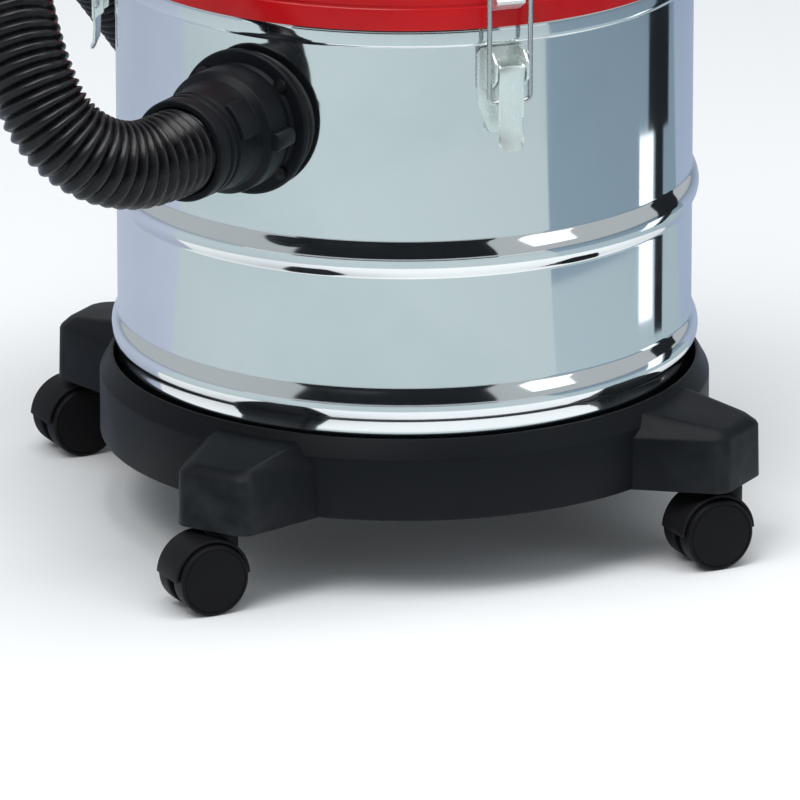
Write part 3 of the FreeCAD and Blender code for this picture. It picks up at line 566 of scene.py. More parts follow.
MATERIALS = {
    "polished_steel": polished_steel(),
    "zinc_steel": zinc_steel(),
    "plain_steel": drawn_steel(
        "plain_steel", 1.0, 300.0, (grey(0.62, -0.02), grey(0.74, -0.02)), (0.18, 0.34)
    ),
    "black_steel": drawn_steel("black_steel", 0.6, 260.0, (grey(0.012), grey(0.035)), (0.35, 0.55)),
    "black_plastic": moulded("black_plastic", (0.006, 0.0075, 0.0098, 1), (0.028, 0.031, 0.035, 1)),
    "castor_plastic": moulded(
        "castor_plastic", (0.006, 0.006, 0.007, 1), (0.035, 0.035, 0.04, 1), (0.42, 0.6), 1400.0, 0.05
    ),
    "hose_plastic": hose_plastic(),
    "red_plastic": moulded(
        "red_plastic", (0.52, 0.005, 0.008, 1), (0.70, 0.06, 0.06, 1), (0.24, 0.34), 500.0, 0.015, 0.2
    ),
    "grey_plastic": moulded("grey_plastic", (0.045, 0.048, 0.052, 1), (0.14, 0.14, 0.15, 1)),
    "rubber": rubber(),
    "foam": foam(),
    "laminated_steel": laminated_steel(),
    "float_plastic": moulded("float_plastic", (0.72, 0.70, 0.64, 1), (0.85, 0.84, 0.80, 1), (0.3, 0.45)),
}

# ---- Drum ------------------------------------------------------------------------------------


def wall_radius(height):
    """The drum's outside radius at a height, with its two rolled beads and its hemmed rim."""
    radius = DRUM_RADIUS
    for middle in BEAD_HEIGHTS:
        above = height - middle + BEAD_DROP
        share = abs(above) / (BEAD_ABOVE if above > 0 else BEAD_BELOW)
        if share < 1:
            radius += BEAD_RISE * (1 - share ** 2) ** 1.15
    share = abs(height - (DRUM_TOP - RIM_SPAN / 2)) / (RIM_SPAN / 2)
    if share < 1:
        radius += RIM_RISE * math.sqrt(1 - share ** 4)
    return radius


def drum_heights():
    """Close rows where the wall curves, and rows a few millimetres apart elsewhere."""
    heights = []
    height = DRUM_BOTTOM + 6.0
    while height < DRUM_TOP - RIM_SPAN:
        heights.append(height)
        near_bead = any(abs(height - middle) < BEAD_SPAN / 2 + 1.5 for middle in BEAD_HEIGHTS)
        height += 0.8 if near_bead else 4.0
    rim = [math.cos(math.pi * k / 24) for k in range(25)]
    heights += [DRUM_TOP - RIM_SPAN / 2 - share * RIM_SPAN / 2 for share in rim]
    return heights


def make_drum():
    heights = drum_heights()
    foot = [(DRUM_RADIUS - 6 + 6 * math.sin(a), DRUM_BOTTOM + 6 - 6 * math.cos(a))
            for a in (math.radians(15 * k) for k in range(6))]
    outside = [(0.0, DRUM_BOTTOM + 3.0), (60.0, DRUM_BOTTOM + 3.0), (66.0, DRUM_BOTTOM + 0.4)]
    outside += foot + [(wall_radius(z), z) for z in heights]
    inside_heights = [z for z in heights if z < DRUM_TOP - RIM_SPAN]
    inside = [(DRUM_RADIUS - SHEET, DRUM_TOP - 0.6)]
    inside += [(wall_radius(z) - SHEET, z) for z in reversed(inside_heights)]
    inside += [(DRUM_RADIUS - 8, DRUM_BOTTOM + SHEET + 0.6), (66.0, DRUM_BOTTOM + SHEET + 0.6)]
    inside += [(60.0, DRUM_BOTTOM + SHEET + 3.2), (0.0, DRUM_BOTTOM + SHEET + 3.2)]
    shell = lathe(outside + inside, 256)
    hole = lathe([(25.1, 100.0), (25.1, 160.0), (0.0, 160.0), (0.0, 100.0)], 64, INLET)
    shell = combine(shell, hole)
    piece("drum_shell", shell, "drum", "polished_steel", ["drum"])


# ---- Dolly -----------------------------------------------------------------------------------

DOLLY_RADIUS = 149.0
DOLLY_BOTTOM = 40.0
DOLLY_TOP = 79.5
DOLLY_BORE = 142.3
DECK_BORE = 50.0
RIBS = 12
RIB_HALF = 1.25
STEM_BORE = 4.05
POD_START = 145.0
POD_REACH = 188.0
POD_ROOT = 34.0
POD_TIP = 19.0


def pod_layer(inset_root, inset_tip, z_root, z_tip, corner=8.0, root=136.0):
    """A rounded trapezoid that runs out from under the ring, at its own height at each end."""
    reach = POD_REACH - inset_tip
    wide, narrow = POD_ROOT - inset_root, POD_TIP - inset_tip
    inner = wide + (narrow - wide) * (root - POD_START) / (POD_REACH - POD_START)
    flat = rounded(
        [(root, -inner), (reach, -narrow, corner), (reach, narrow, corner), (root, inner)], steps=7
    )
    slope = (z_tip - z_root) / (reach - DOLLY_RADIUS)
    return [(p.x, p.y, z_root + slope * (p.x - DOLLY_RADIUS)) for p in flat]


def make_dolly():
    ring = rounded([
        (DECK_BORE, 53),
        (146, 53, 1.0),
        (146, DOLLY_BOTTOM, 0.4),
        (DOLLY_RADIUS, DOLLY_BOTTOM, 0.9),
        (DOLLY_RADIUS, 70, 2.2),
        (143.6, DOLLY_TOP, 0.8),
        (DOLLY_BORE, DOLLY_TOP, 0.4),
        (DOLLY_BORE, 57),
        (DECK_BORE, 57),
    ], steps=5)
    base = lathe(ring, 192)
    for angle in POD_ANGLES:
        layers = [
            pod_layer(0.0, 0.0, DOLLY_BOTTOM, DOLLY_BOTTOM),
            pod_layer(0.2, 0.4, 65.0, 65.5),
            pod_layer(0.8, 1.0, 66.2, 67.0),
            pod_layer(11.0, 3.6, 74.6, 70.0),
            pod_layer(13.5, 6.0, 75.2, 70.8, 6.0),
        ]
        base = combine(base, moved(stack(layers), about(angle)), "UNION")
        hollow = [
            pod_layer(4.0, 3.0, 39.0, 39.0, 6.0, 150.5),
            pod_layer(4.5, 3.4, 63.0, 63.0, 6.0, 150.5),
        ]
        base = combine(base, moved(stack(hollow), about(angle)))
        boss = lathe([(STEM_BORE, DOLLY_BOTTOM), (9.0, DOLLY_BOTTOM), (9.0, 64.0), (STEM_BORE, 64.0)], 32)
        base = combine(base, moved(boss, about(angle) @ about(0, (CASTOR_CIRCLE, 0, 0))), "UNION")
    outline = [(54, -RIB_HALF), (147, -RIB_HALF), (147, RIB_HALF), (54, RIB_HALF)]
    for count in range(RIBS):
        rib = slab(outline, 44.0, 54.0, about(DOLLY_TURN + 360 / RIBS * count))
        base = combine(base, rib, "UNION")
    piece("dolly", base, "drum", "black_plastic", ["dolly_base"], 32)


# ---- Castors ---------------------------------------------------------------------------------

AXLE_RADIUS = 3.0
AXLE_BORE = 3.05
WEB_HALF = 3.0


def castor_place(angle):
    spot = about(angle) @ Vector((CASTOR_CIRCLE, 0, 0))
    return about(CASTOR_HEADING, spot)


def web_outline(radius):
    """The web between the wheels, out to a radius from the axle."""
    return rounded(
        [(AXLE_RADIUS, -WEB_HALF), (radius, -WEB_HALF, 0.4), (radius, WEB_HALF, 0.4),
         (AXLE_RADIUS, WEB_HALF)]
    )


def make_castor(count, angle):
    place = castor_place(angle)
    axle = place @ Matrix.Translation(Vector((0, -CASTOR_TRAIL, WHEEL_RADIUS)) * MM) @ ALONG_X
    fender = rounded([(18.1, -11), (19.8, -11, 0.8), (19.8, 11, 0.8), (18.1, 11)], 0.4, 4)
    # Angles about the axle count from straight down: 90 is towards the stem and 270 is back.
    hood = half_turned(fender, 93, 267, axle)
    web = lathe(web_outline(18.6), 48, axle)
    web = combine(web, slab([(-1, -25), (25, -25), (25, 25), (-1, 25)], -5, 5, axle))
    neck = lathe(rounded([(4.0, 27), (8.0, 27), (8.0, 38.6, 1.2), (4.0, 38.6, 0.3)], 0, 4), 48, place)
    hood = combine(hood, web, "UNION")
    hood = combine(hood, neck, "UNION")
    hood = combine(hood, lathe(web_outline(6.5), 32, axle), "UNION")
    body = f"castor_{count}"
    piece(f"castor_fender_{count}", hood, body, "castor_plastic", [f"castor_hood_{count}"], 34)
    for side, letter in ((-1, "a"), (1, "b")):
        tread = rounded([
            (AXLE_BORE, 3.4),
            (7.0, 3.4, 0.4),
            (7.0, 5.4, 0.6),
            (14.6, 5.4, 0.6),
            (14.6, 3.4, 0.4),
            (WHEEL_RADIUS, 3.4, 0.9),
            (WHEEL_RADIUS, 13.2, 1.5),
            (16.4, 13.9, 0.5),
            (15.9, 13.9, 0.3),
            (15.6, 13.3, 0.3),
            (15.1, 13.9, 0.5),
            (8.0, 14.35, 8.0),
            (0.0, 14.4),
            (0.0, 11.5),
            (AXLE_BORE, 11.5),
        ], steps=4)
        wheel = lathe([(radius, side * height) for radius, height in tread], 72, axle)
        piece(f"castor_tread_{letter}_{count}", wheel, f"wheel_{letter}_{count}", "castor_plastic",
              [f"castor_wheel_{letter}_{count}"], 30)


# ---- Inlet, hose and grip --------------------------------------------------------------------

HOSE_BORE = 18.0
HOSE_SOCKET = 21.1
SPIGOT_RADIUS = 25.0
SPIGOT_START = 128.0
FLANGE_RADIUS = 35.5
CONNECTOR_START = 151.0
CONNECTOR_END = 204.0
CUP_RADIUS = 30.0
NECK_RADIUS = 24.9
NECK_GROOVE = 23.9
CUFF_RADIUS = 24.4
CUFF_GROOVE = 23.4
HOLD_RADIUS = 21.0
GRIP_BORE = 14.5
SLIDER_RADIUS = 23.6
SLIDER_LENGTH = 16.0
BLEED_PLACE = 47.0


def make_inlet():
    flange = rounded([
        (HOSE_BORE, SPIGOT_START),
        (SPIGOT_RADIUS, SPIGOT_START, 0.8),
        (SPIGOT_RADIUS, 138),
        (30.5, 138),
        (30.5, 143.0, 0.5),
        (FLANGE_RADIUS, 144.2, 1.2),
        (FLANGE_RADIUS, 147.5, 1.4),
        (29.0, 147.5, 1.0),
        (28.0, 149.5, 1.0),
        (25.6, 149.5, 0.8),
        (SPIGOT_RADIUS, CONNECTOR_START, 0.5),
        (SPIGOT_RADIUS, 165, 0.8),
        (HOSE_BORE, 165, 0.8),
    ], steps=5)
    port = lathe(flange, 96, INLET)
    wall = lathe([(141.5, 190), (141.5, 280), (120.0, 280), (120.0, 190)], 128)
    port = combine(port, wall)
    inner = [(HOSE_BORE, SPIGOT_START), (SPIGOT_RADIUS, SPIGOT_START, 0.8)]
    inner += [(SPIGOT_RADIUS, 142), (HOSE_BORE, 142)]
    port = join(port, lathe(rounded(inner, 0, 4), 96, INLET))
    piece("inlet_flange", port, "drum", "black_plastic", ["inlet_port"], 32)


def make_connector():
    cup = rounded([
        (25.05, CONNECTOR_START),
        (29.2, CONNECTOR_START, 0.8),
        (CUP_RADIUS, 155, 1.0),
        (CUP_RADIUS, 168.0, 2.5),
        (26.6, 171.0, 1.2),
        (25.6, 176, 0.6),
        (25.0, 188.5, 0.4),
        (NECK_GROOVE, 189.2, 0.3),
        (NECK_GROOVE, 191.0, 0.3),
        (NECK_RADIUS, 191.7, 0.4),
        (NECK_RADIUS, 194.0, 0.4),
        (NECK_GROOVE, 194.7, 0.3),
        (NECK_GROOVE, 196.5, 0.3),
        (NECK_RADIUS, 197.2, 0.4),
        (24.7, CONNECTOR_END, 1.2),
        (HOSE_SOCKET, CONNECTOR_END, 0.8),
        (HOSE_SOCKET, 195, 0.3),
        (HOSE_BORE, 195, 0.3),
        (HOSE_BORE, 166, 0.3),
        (25.05, 166, 0.3),
    ], steps=4)
    body = lathe(cup, 96, INLET)
    wide, tall = 34.3, 4.4
    wings = rounded([(-wide, -tall), (wide, -tall), (wide, tall), (-wide, tall)], 3.0, 5)
    wings = slab(wings, 154.5, 168.5, INLET)
    core = [(25.3, 150), (28.0, 150), (28.0, 172), (25.3, 172), (0, 172), (0, 150)]
    wings = combine(wings, lathe(core, 64, INLET))
    body = combine(body, soften(wings, 1.0), "UNION")
    tab = rounded([(24.0, 173.5), (27.4, 174.0, 1.2), (27.4, 187.5, 1.2), (24.0, 187.5)])
    body = combine(body, soften(half_turned(tab, 12, 52, INLET, 24), 0.6), "UNION")
    return piece("connector", body, "drum", "hose_plastic", ["hose_connector"], 32, finish="black_plastic")


def make_hose():
    line = spline_line(HOSE_ROUTE, 24)
    length = path_length(line)
    rows_per_rib = 8
    rows = round(length / (HOSE_PITCH * MM)) * rows_per_rib
    distances = [length * row / rows for row in range(rows + 1)]
    radii = []
    for row in range(rows + 1):
        swing = 0.5 + 0.5 * math.cos(math.tau * row / rows_per_rib)
        radii.append((HOSE_VALLEY + (HOSE_RADIUS - HOSE_VALLEY) * swing ** 0.6) * MM)
    tube = sweep(along(line, distances), radii, 40)
    hose = piece("hose", tube, "drum", "hose_plastic", ["hose_tube"], 75)


GRIP_BEND = 22.0
GRIP_TURN_RADIUS = 90.0
GRIP_SOCKET = 30.0
GRIP_CUFF_LENGTH = 36.0
GRIP_HOLD = 50.0
NOSE_LENGTH = 40.0


def grip_path():
    """The grip's centreline: straight, round a gentle bend, and straight again. In metres."""
    stop = Vector(HOSE_ROUTE[-1])
    heading = (stop - Vector(HOSE_ROUTE[-2])).normalized()
    end = stop - heading * GRIP_SOCKET * MM
    turn = Matrix.Rotation(math.radians(GRIP_BEND), 3, "Z")
    after = turn @ heading
    reach = GRIP_TURN_RADIUS * math.tan(math.radians(GRIP_BEND / 2)) * MM
    corner = end + heading * (GRIP_CUFF_LENGTH + GRIP_HOLD) * MM
    start = corner - heading * reach
    centre = start + Vector((-heading.y, heading.x, 0)) * GRIP_TURN_RADIUS * MM
    points = [end, start]
    for step in range(1, 13):
        part = Matrix.Rotation(math.radians(GRIP_BEND * step / 12), 3, "Z")
        points.append(centre + part @ (start - centre))
    points.append(corner + after * (GRIP_HOLD + NOSE_LENGTH) * MM)
    return points, heading


def make_grip():
    path, heading = grip_path()
    whole = path_length(path) / MM
    hold_end = whole - NOSE_LENGTH
    outline = [(0, HOSE_SOCKET), (0, CUFF_RADIUS, 1.0)]
    for ring in range(5):
        start = 4.0 + ring * 5.0
        outline += [(start, CUFF_RADIUS, 0.5), (start + 0.8, CUFF_GROOVE, 0.4)]
        outline += [(start + 2.0, CUFF_GROOVE, 0.4), (start + 2.8, CUFF_RADIUS, 0.5)]
    outline += [(33.5, CUFF_RADIUS, 1.5), (GRIP_CUFF_LENGTH, HOLD_RADIUS, 1.0)]
    outline += [(distance, HOLD_RADIUS) for distance in range(62, int(hold_end) - 6, 6)]
    outline += [(hold_end - 3, HOLD_RADIUS, 1.5), (hold_end, 17.5, 0.8)]
    outline += [(whole, 17.4, 0.8), (whole, GRIP_BORE, 0.4)]
    outline += [(distance, GRIP_BORE) for distance in range(int(hold_end) - 6, 34, -6)]
    outline += [(GRIP_SOCKET, GRIP_BORE), (GRIP_SOCKET, HOSE_SOCKET)]
    body = turn_along(path, [tuple(p) for p in rounded(outline, steps=3)], 64)
    hole = facing((0, 0, 1), path[0] / MM + heading * BLEED_PLACE)
    body = combine(body, lathe([(0, 0), (4.0, 0), (4.0, 60), (0, 60)], 32, hole))
    grip = piece("grip", body, "drum", "hose_plastic", ["hose_grip"], 32, finish="black_plastic")

    bore, crest = HOLD_RADIUS + 0.06, SLIDER_RADIUS + 0.45
    ring = [(bore, 0), (SLIDER_RADIUS, 0, 0.8)]
    for count in range(4):
        start = 2.4 + count * 2.8
        ring += [(SLIDER_RADIUS, start, 0.3), (crest, start + 0.6, 0.3)]
        ring += [(crest, start + 1.4, 0.3), (SLIDER_RADIUS, start + 2.0, 0.3)]
    ring += [(SLIDER_RADIUS, SLIDER_LENGTH, 0.8), (bore, SLIDER_LENGTH)]
    start = path[0] + heading * (GRIP_CUFF_LENGTH + 3.0) * MM
    sleeve = lathe(rounded(ring, steps=3), 72, facing(heading, start / MM))
    slider = piece("slider", sleeve, "air_slider", "grey_plastic", ["air_slider"], 32, finish="red_plastic")
    return grip, slider


# ---- Latches ---------------------------------------------------------------------------------

PIVOT_REACH = 151.0
PIVOT_HEIGHT = 263.0
BAIL_HEIGHT = PIVOT_HEIGHT - 16.0
CATCH_HEIGHT = 301.0
LEVER_HALF = 6.4
BAIL_HALF = 10.2
STAMPING = 1.3
WIRE_RADIUS = 1.25


def wrapped(bm, radius):
    """Bends a plate that is flat against a tangent plane round the drum."""
    for across in range(-12, 13, 2):
        geometry = bm.verts[:] + bm.edges[:] + bm.faces[:]
        bmesh.ops.bisect_plane(bm, geom=geometry, plane_co=(0, across * MM, 0), plane_no=(0, 1, 0))
    for vert in bm.verts:
        turn = vert.co.y / (radius * MM)
        reach = vert.co.x
        vert.co.x = reach * math.cos(turn)
        vert.co.y = reach * math.sin(turn)
    return bm


def latch_plate():
    outline = rounded(
        [(-6.5, 229.5), (6.5, 229.5), (12.3, 245), (12.3, 272), (-12.3, 272), (-12.3, 245)], 3.0, 5
    )
    back = wrapped(soften(slab(outline, 140.1, 141.3, UPRIGHT), 0.35), 140.0)
    ear = rounded(
        [(140.6, 251.0), (149.0, 254.0, 4.0), (155.0, 259.0, 3.5), (155.0, 267.0, 3.5), (149.0, 271.6, 3.0),
         (140.6, 271.6)], 1.0, 5
    )
    ears = [soften(slab(ear, low, low + STAMPING, EDGE_ON), 0.3) for low in (-7.2 - STAMPING, 7.2)]
    return join(back, *ears)


def latch_lever():
    """A stamped channel: a face with a rounded end that flares out, and two cheeks."""
    face = [
        (154.4, 265.6), (154.9, 262.0), (153.6, 255.0), (153.0, 247.0), (153.0, 235.0), (153.4, 228.0),
        (154.6, 223.6),
    ]
    end_curves = {face[0]: -1.0, face[-1]: 3.6}
    steps = 12
    shares = [2 * k / steps - 1 for k in range(steps + 1)]
    bm = bmesh.new()
    rings = []
    for spot in face:
        reach, height = spot
        curve = end_curves.get(spot, 0.0)
        outer = [
            Vector((reach + 0.5 * (1 - share ** 2), LEVER_HALF * share, height + curve * abs(share) ** 3))
            for share in shares
        ]
        inner = [point - Vector((STAMPING, 0, 0)) for point in reversed(outer)]
        rings.append([bm.verts.new(point * MM) for point in outer + inner])
    skin(bm, rings)
    for ring in (rings[0], rings[-1]):
        for k in range(steps):
            bm.faces.new([ring[k], ring[k + 1], ring[-k - 2], ring[-k - 1]])
    bmesh.ops.recalc_face_normals(bm, faces=bm.faces)
    edges = [e for e in bm.edges if e.calc_face_angle() > math.radians(50)]
    bmesh.ops.bevel(bm, geom=edges, offset=0.4 * MM, segments=2, affect="EDGES", profile=0.6)
    cheek = rounded(
        [(147.7, 243.5), (150.5, 241.8), (153.6, 238.0), (153.6, 262.0), (154.6, 265.6), (148.5, 266.0),
         (147.7, 258.0)], 1.5, 4
    )
    lows = (-LEVER_HALF, LEVER_HALF - STAMPING)
    return join(bm, *[soften(slab(cheek, low, low + STAMPING, EDGE_ON), 0.3) for low in lows])


def wire_loop(points, radius, steps=6, bend=3.0):
    """A closed loop of round wire through corners in millimetres, with rounded corners."""
    line = []
    count = len(points)
    for i, point in enumerate(points):
        corner = Vector(point)
        back = (Vector(points[i - 1]) - corner).normalized()
        ahead = (Vector(points[(i + 1) % count]) - corner).normalized()
        half = back.angle(ahead) / 2
        reach = bend / math.tan(half)
        centre = corner + (back + ahead).normalized() * (bend / math.sin(half))
        start = corner + back * reach - centre
        stop = corner + ahead * reach - centre
        line += [(centre + arc_point(start, stop, k / steps)) * MM for k in range(steps + 1)]
    bm = bmesh.new()
    rings = []
    for i, point in enumerate(line):
        tangent = (line[(i + 1) % len(line)] - line[i - 1]).normalized()
        side = Vector((1, 0, 0))
        side = (side - tangent * side.dot(tangent)).normalized()
        rings.append(circle(bm, point, side, tangent.cross(side), radius * MM, 16))
    skin(bm, rings, closed=True)
    return bm


def make_latches():
    corners = [
        (PIVOT_REACH, -BAIL_HALF, BAIL_HEIGHT),
        (PIVOT_REACH, BAIL_HALF, BAIL_HEIGHT),
        (PIVOT_REACH, BAIL_HALF, CATCH_HEIGHT),
        (PIVOT_REACH, -BAIL_HALF, CATCH_HEIGHT),
    ]
    plates = []
    for count, angle in enumerate(LATCH_ANGLES, start=1):
        plates.append(moved(latch_plate(), about(angle)))
        lever = moved(latch_lever(), about(angle))
        piece(f"lever_{count}", lever, f"latch_lever_{count}", "zinc_steel", [f"latch_lever_{count}"], 40)
        bail = moved(wire_loop(corners, WIRE_RADIUS), about(angle))
        piece(f"bail_{count}", bail, f"latch_bail_{count}", "plain_steel", [f"latch_bail_{count}"], 60)
    piece("latch_bases", join(*plates), "drum", "zinc_steel", ["latch_plates"], 40)


# ---- Head ------------------------------------------------------------------------------------

SKIRT_RADIUS = 144.5
SKIRT_BORE = 141.5
SEAT_RADIUS = 138.3
SPIGOT_BORE = 135.9
COVER_FOOT = 328.0
COVER_RADIUS = 100.0
COVER_TOP = 385.0
COVER_WALL = 2.5
VENT_HALF = 1.3
VENT_STEP = 5.5
BLOWER_HEIGHT = 350.0
BLOWER_BORE = 17.5
BLOWER_RADIUS = 21.0
GLAND_SIDE = 60.0
GLAND_HEIGHT = 315.0
HANDLE_SPAN = 112.0
HANDLE_TOP = 431.5
HANDLE_RADIUS = 8.6
GRIP_HALF = 46.0
GRIP_RIPPLE = 6.0
ROCKER_HALF = 6.9
ROCKER_DIP = 1.8
FOAM_THICK = 15.0
FOAM_CROWN = 1.6


def backwards(side, height):
    """Carries the Z axis to +Y, at a place beside the machine's axis and a height."""
    return Matrix.Translation(Vector((side, 0, height)) * MM) @ Matrix.Rotation(math.radians(-90), 4, "X")


def make_skirt():
    profile = rounded([
        (SPIGOT_BORE, 274.5, 0.6),
        (SEAT_RADIUS, 274.5, 0.6),
        (SEAT_RADIUS, 286.5, 0.4),
        (143.8, 286.5, 0.1),
        (143.8, 282.2, 0.2),
        (SKIRT_RADIUS, 282.2, 0.3),
        (SKIRT_RADIUS, 292.5, 0.4),
        (144.0, 293.1, 0.3),
        (144.0, 294.1, 0.3),
        (SKIRT_RADIUS, 294.7, 0.4),
        (SKIRT_RADIUS, 306.0, 6.0),
        (121.0, 325.6, 3.0),
        (116.0, COVER_FOOT, 2.0),
        (101.0, COVER_FOOT, 0.6),
        (101.0, 326.8, 0.4),
        (88.0, 326.8, 0.5),
        (88.0, 325.0, 0.5),
        (114.0, 325.0, 2.0),
        (SKIRT_BORE, 305.0, 2.0),
        (SKIRT_BORE, 289.5, 1.0),
        (SPIGOT_BORE, 289.5, 0.6),
    ], steps=5)
    skirt = lathe(profile, 192)
    piece("skirt", skirt, "head", "red_plastic", ["head_skirt"], 32)


def make_cover():
    profile = rounded([
        (COVER_RADIUS - COVER_WALL, COVER_FOOT, 0.4),
        (COVER_RADIUS, COVER_FOOT, 0.6),
        (COVER_RADIUS, 334.0, 0.4),
        (99.4, 334.6, 0.3),
        (99.4, 335.8, 0.3),
        (COVER_RADIUS, 336.4, 0.4),
        (COVER_RADIUS, 362.0, 14.0),
        (90.0, 377.0, 12.0),
        (72.0, 385.0, 9.0),
        (60.0, 386.0, 2.0),
        (58.0, COVER_TOP, 0.6),
        (0.0, COVER_TOP),
        (0.0, 382.0),
        (60.0, 382.0, 2.0),
        (86.0, 375.0, 10.0),
        (COVER_RADIUS - COVER_WALL, 361.0, 12.0),
    ], steps=6)
    cover = lathe(profile, 192)
    vent = [(-VENT_HALF, 341.5), (VENT_HALF, 341.5), (VENT_HALF, 358.0), (-VENT_HALF, 358.0)]
    for side in (0, 180):
        for count in range(-5, 6):
            slot = slab(rounded(vent, 1.2, 3), 90.0, 104.0, UPRIGHT)
            cover = combine(cover, moved(slot, about(side + count * VENT_STEP)))
    bore = [(0, 85), (BLOWER_BORE, 85), (BLOWER_BORE, 115), (0, 115)]
    bore = lathe(bore, 64, facing((0, 1, 0), (0, 0, BLOWER_HEIGHT)))
    cover = combine(cover, bore)
    piece("cover", cover, "head", "black_plastic", ["motor_cover"], 32, True)


def make_blower():
    profile = rounded([
        (BLOWER_BORE, 92.0),
        (BLOWER_RADIUS, 92.0),
        (BLOWER_RADIUS, 112.0, 0.4),
        (BLOWER_RADIUS, 118.0, 0.4),
        (BLOWER_RADIUS, 124.5, 0.8),
        (20.2, 126.0, 0.6),
        (17.9, 126.0, 0.5),
        (BLOWER_BORE, 125.2, 0.3),
    ], steps=4)
    port = lathe(profile, 72, backwards(0, BLOWER_HEIGHT))
    inside = COVER_RADIUS - 0.4
    port = combine(port, lathe([(0, 300), (inside, 300), (inside, 400), (0, 400)], 128))
    piece("blower", port, "head", "black_plastic", ["blower_port"], 32)


def make_handle():
    left = -HANDLE_SPAN
    route = [(left, 322), (left + 1, 352), (left + 8, 392), (left + 36, 424), (-48, 430.5), (0, HANDLE_TOP)]
    route += [(-x, z) for x, z in reversed(route[:-1])]
    line = spline_line([(x * MM, 0, z * MM) for x, z in route], 12)
    length = path_length(line)
    rows = 260
    points = along(line, [length * k / rows for k in range(rows + 1)])
    radii = []
    for point in points:
        across = abs(point.x) / MM
        ripple = 0.5 + 0.5 * math.cos(math.tau * across / GRIP_RIPPLE)
        radius = 9.0 + 0.45 * ripple if across < GRIP_HALF else HANDLE_RADIUS
        radii.append(radius * MM)
    bar = sweep(points, radii, 32)
    piece("handle", bar, "head", "black_plastic", ["carry_handle"], 50)


def make_switch():
    low, high = corners_of("switch_housing")
    frame_outline = rounded([(low.x, low.y), (high.x, low.y), (high.x, high.y), (low.x, high.y)], 3.0, 5)
    housing = soften(slab(frame_outline, low.z - 1.0, high.z), 1.0)
    recess_low, recess_high = corners_of("switch_rocker")
    near, far = recess_low.y - 1.3, recess_high.y + 1.3
    half = ROCKER_HALF + 0.5
    opening = rounded([(-half, near), (half, near), (half, far), (-half, far)], 1.0, 3)
    housing = combine(housing, slab(opening, low.z, high.z + 2))
    piece("switch_frame", housing, "head", "black_plastic", ["switch_housing"], 32)
    top = recess_high.z
    side = rounded(
        [(recess_low.y, recess_low.z), (recess_high.y, recess_low.z), (recess_high.y, top, 1.0),
         ((low.y + high.y) / 2, top - ROCKER_DIP, 20.0), (recess_low.y, top, 1.0)], 0.5, 6
    )
    rocker = soften(slab(side, -ROCKER_HALF, ROCKER_HALF, UPRIGHT), 0.6)
    piece("rocker", rocker, "switch_rocker", "red_plastic", ["switch_rocker"], 32)


def make_gland():
    bore = 3.8
    outline = [(bore, 118), (9.0, 118, 0.5), (9.0, 121, 0.5)]
    outline += [(7.6, 122, 0.4), (6.4, 130, 0.8), (bore, 130, 0.5)]
    gland = lathe(rounded(outline, steps=4), 48, backwards(GLAND_SIDE, GLAND_HEIGHT))
    piece("gland", gland, "head", "rubber", ["cable_gland"], 32)


def make_foam():
    """The filter sleeve: soft foam with a crowned wall that bulges between its two ends."""
    low, high = corners_of("foam_filter")
    outer = high.x - 0.6
    inner = outer - FOAM_THICK + 0.8
    gap = 0.4
    rows = 18
    outside, inside = [], []
    for row in range(rows + 1):
        share = row / rows
        height = low.z + gap + (high.z - low.z - 2 * gap) * share
        outside.append((outer - FOAM_CROWN * (2 * share - 1) ** 6, height))
        inside.append((inner, height))
    sleeve = piece("foam_sleeve", lathe(outside + inside[::-1], 96), "head", "foam", ["foam_filter"], 50)


# ---- Pieces kept from the CAD frame ----------------------------------------------------------


def finish_frame_nodes():
    """Every CAD piece that still shows gets the material of its record slot."""
    slots = {row["node"]: row["material_slot"] for row in frame["record"]["subparts"]}
    for name, node in frame["nodes"].items():
        material = MATERIALS[slots[name]]
        node.data.materials.clear()
        node.data.materials.append(material)
        if not node.hide_render:
            node.data.polygons.foreach_set("use_smooth", [True] * len(node.data.polygons))
            node.data.set_sharp_from_angle(angle=math.radians(30))


# ---- Studio ----------------------------------------------------------------------------------

VIEW_AZIMUTH = 31.4
VIEW_ELEVATION = 18.05
VIEW_DISTANCE = 5.5
VIEW_LENS = 505.5
VIEW_TARGET = Vector((-0.001844, -0.001125, 0.0525))


def toward_camera(azimuth, elevation):
    a, e = math.radians(azimuth), math.radians(elevation)
    return Vector((math.sin(a) * math.cos(e), -math.cos(a) * math.cos(e), math.sin(e)))


def make_camera():
    data = bpy.data.cameras.new("camera")
    data.lens = VIEW_LENS
    data.sensor_width = 36.0
    data.clip_end = 200.0
    camera = placed("camera", data)
    back = toward_camera(VIEW_AZIMUTH, VIEW_ELEVATION)
    camera.location = VIEW_TARGET + back * VIEW_DISTANCE
    camera.rotation_euler = (-back).to_track_quat("-Z", "Y").to_euler()
    bpy.context.scene.camera = camera


def soft_light(name, azimuth, elevation, distance, size, power, tint=(1, 1, 1)):
    data = bpy.data.lights.new(name, "AREA")
    data.shape = "RECTANGLE"
    data.size, data.size_y = size
    data.energy = power
    data.color = tint
    light = placed(name, data)
    back = toward_camera(azimuth, elevation)
    light.location = Vector((0, 0, 0.15)) + back * distance
    light.rotation_euler = (-back).to_track_quat("-Z", "Y").to_euler()


def flat_material(name, colour, rough=0.9, glow=0.0):
    paint = Paint(name, Base_Color=colour, Roughness=rough, Specular_IOR_Level=0.1)
    paint.fill(paint.shader, {"Emission Color": colour, "Emission Strength": glow})
    return paint.material


def stage_mesh(name, points, faces, material, seen=True):
    mesh = bpy.data.meshes.new(name)
    mesh.from_pydata(points, [], faces)
    mesh.materials.append(material)
    obj = placed(name, mesh)
    obj.visible_camera = seen
    obj.visible_shadow = seen
    obj.visible_diffuse = seen
    return obj


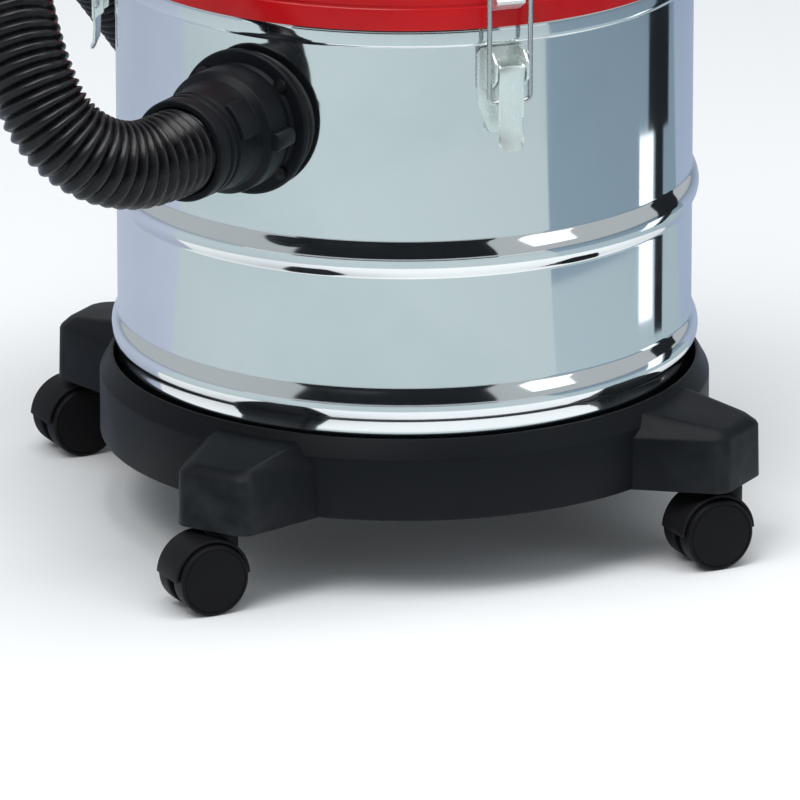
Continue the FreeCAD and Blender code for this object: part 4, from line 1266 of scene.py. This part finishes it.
def band(name, start, stop, steps, edges, material):
    """A band round the drum between two angles, with a distance, elevation and lift for each edge."""
    points = []
    for k in range(steps + 1):
        angle = VIEW_AZIMUTH + start + (stop - start) * k / steps
        points += [toward_camera(angle, tilt) * reach + Vector((0, 0, lift)) for reach, tilt, lift in edges]
    faces = [(2 * k, 2 * k + 1, 2 * k + 3, 2 * k + 2) for k in range(steps)]
    stage_mesh(name, points, faces, material, seen=False)


def floor_card(name, start, stop, near, far, material):
    """A patch of floor between two angles and two distances, seen only in reflections."""
    lift = 0.0005
    band(name, start, stop, 24, ((near, 0, lift), (far, 0, lift)), material)


def flag(name, start, stop, low, high, material):
    """A narrow upright card between two points, given as (right, towards the camera) in metres."""
    points = []
    for right, near in (start, stop):
        spot = toward_camera(VIEW_AZIMUTH + 90, 0) * right + toward_camera(VIEW_AZIMUTH, 0) * near
        points += [spot + Vector((0, 0, low)), spot + Vector((0, 0, high))]
    stage_mesh(name, points, [(0, 1, 3, 2)], material, seen=False)


def make_studio():
    far = 40.0
    floor = flat_material("studio_floor", (0.88, 0.89, 0.90, 1), 0.7)
    corners = [(-far, -far, 0), (far, -far, 0), (far, far, 0), (-far, far, 0)]
    stage_mesh("floor", corners, [(0, 1, 2, 3)], floor)
    world = bpy.data.worlds.new("studio")
    world.use_nodes = True
    background = world.node_tree.nodes["Background"]
    background.inputs["Color"].default_value = (0.86, 0.91, 0.94, 1)
    background.inputs["Strength"].default_value = 0.55
    bpy.context.scene.world = world
    bpy.context.scene.view_settings.view_transform = "Standard"
    soft_light("key", VIEW_AZIMUTH - 35, 55, 2.6, (1.6, 1.2), 30)
    soft_light("overhead", VIEW_AZIMUTH + 20, 80, 2.2, (1.8, 1.4), 26)
    soft_light("fill", VIEW_AZIMUTH + 60, 30, 3.0, (1.0, 1.6), 6, (0.9, 0.95, 1.0))
    front = flat_material("front_card", (0.46, 0.525, 0.535, 1))
    floor_card("front_shade", -92, 54, 0.30, 1.7, front)
    shade = flat_material("blue_grey_card", (0.22, 0.29, 0.35, 1))
    floor_card("right_shade", 54, 128, 0.60, 4.0, shade)
    near = flat_material("near_card", (0.38, 0.455, 0.49, 1))
    floor_card("right_near", 54, 128, 0.30, 0.60, near)
    edge = flat_material("edge_card", (0.36, 0.42, 0.54, 1))
    floor_card("right_edge", 128, 182, 0.20, 4.0, edge)
    lavender = flat_material("lavender_card", (0.45, 0.49, 0.59, 1))
    floor_card("left_shade", -178, -92, 0.20, 4.0, lavender)
    floor_card("left_far", -92, -62, 1.7, 4.0, lavender)
    dark = flat_material("dark_card", (0.015, 0.018, 0.021, 1))
    band("dark_gap", -42, 35, 16, ((3.2, 5, 0), (3.2, 48, 0)), dark)
    floor_card("dark_floor", -42, 35, 1.7, 3.4, dark)
    flag("dark_flag", (0.428, -0.063), (0.385, -0.164), 0.11, 0.60, dark)
    flag("thin_flag", (0.417, -0.098), (0.399, -0.138), 0.0, 0.11, dark)
    white = flat_material("white_card", (0.9, 0.94, 0.98, 1), glow=0.6)
    flag("white_flag", (0.437, -0.023), (0.420, -0.088), 0.01, 0.11, white)


make_camera()
grip_piece, slider_piece = make_grip()
connector_piece = make_connector()
make_hose()
make_drum()
make_dolly()
for castor, pod_angle in enumerate(POD_ANGLES, start=1):
    make_castor(castor, pod_angle)
make_inlet()
make_latches()
make_skirt()
make_cover()
make_blower()
make_handle()
make_switch()
make_gland()
make_foam()
finish_frame_nodes()
make_studio()
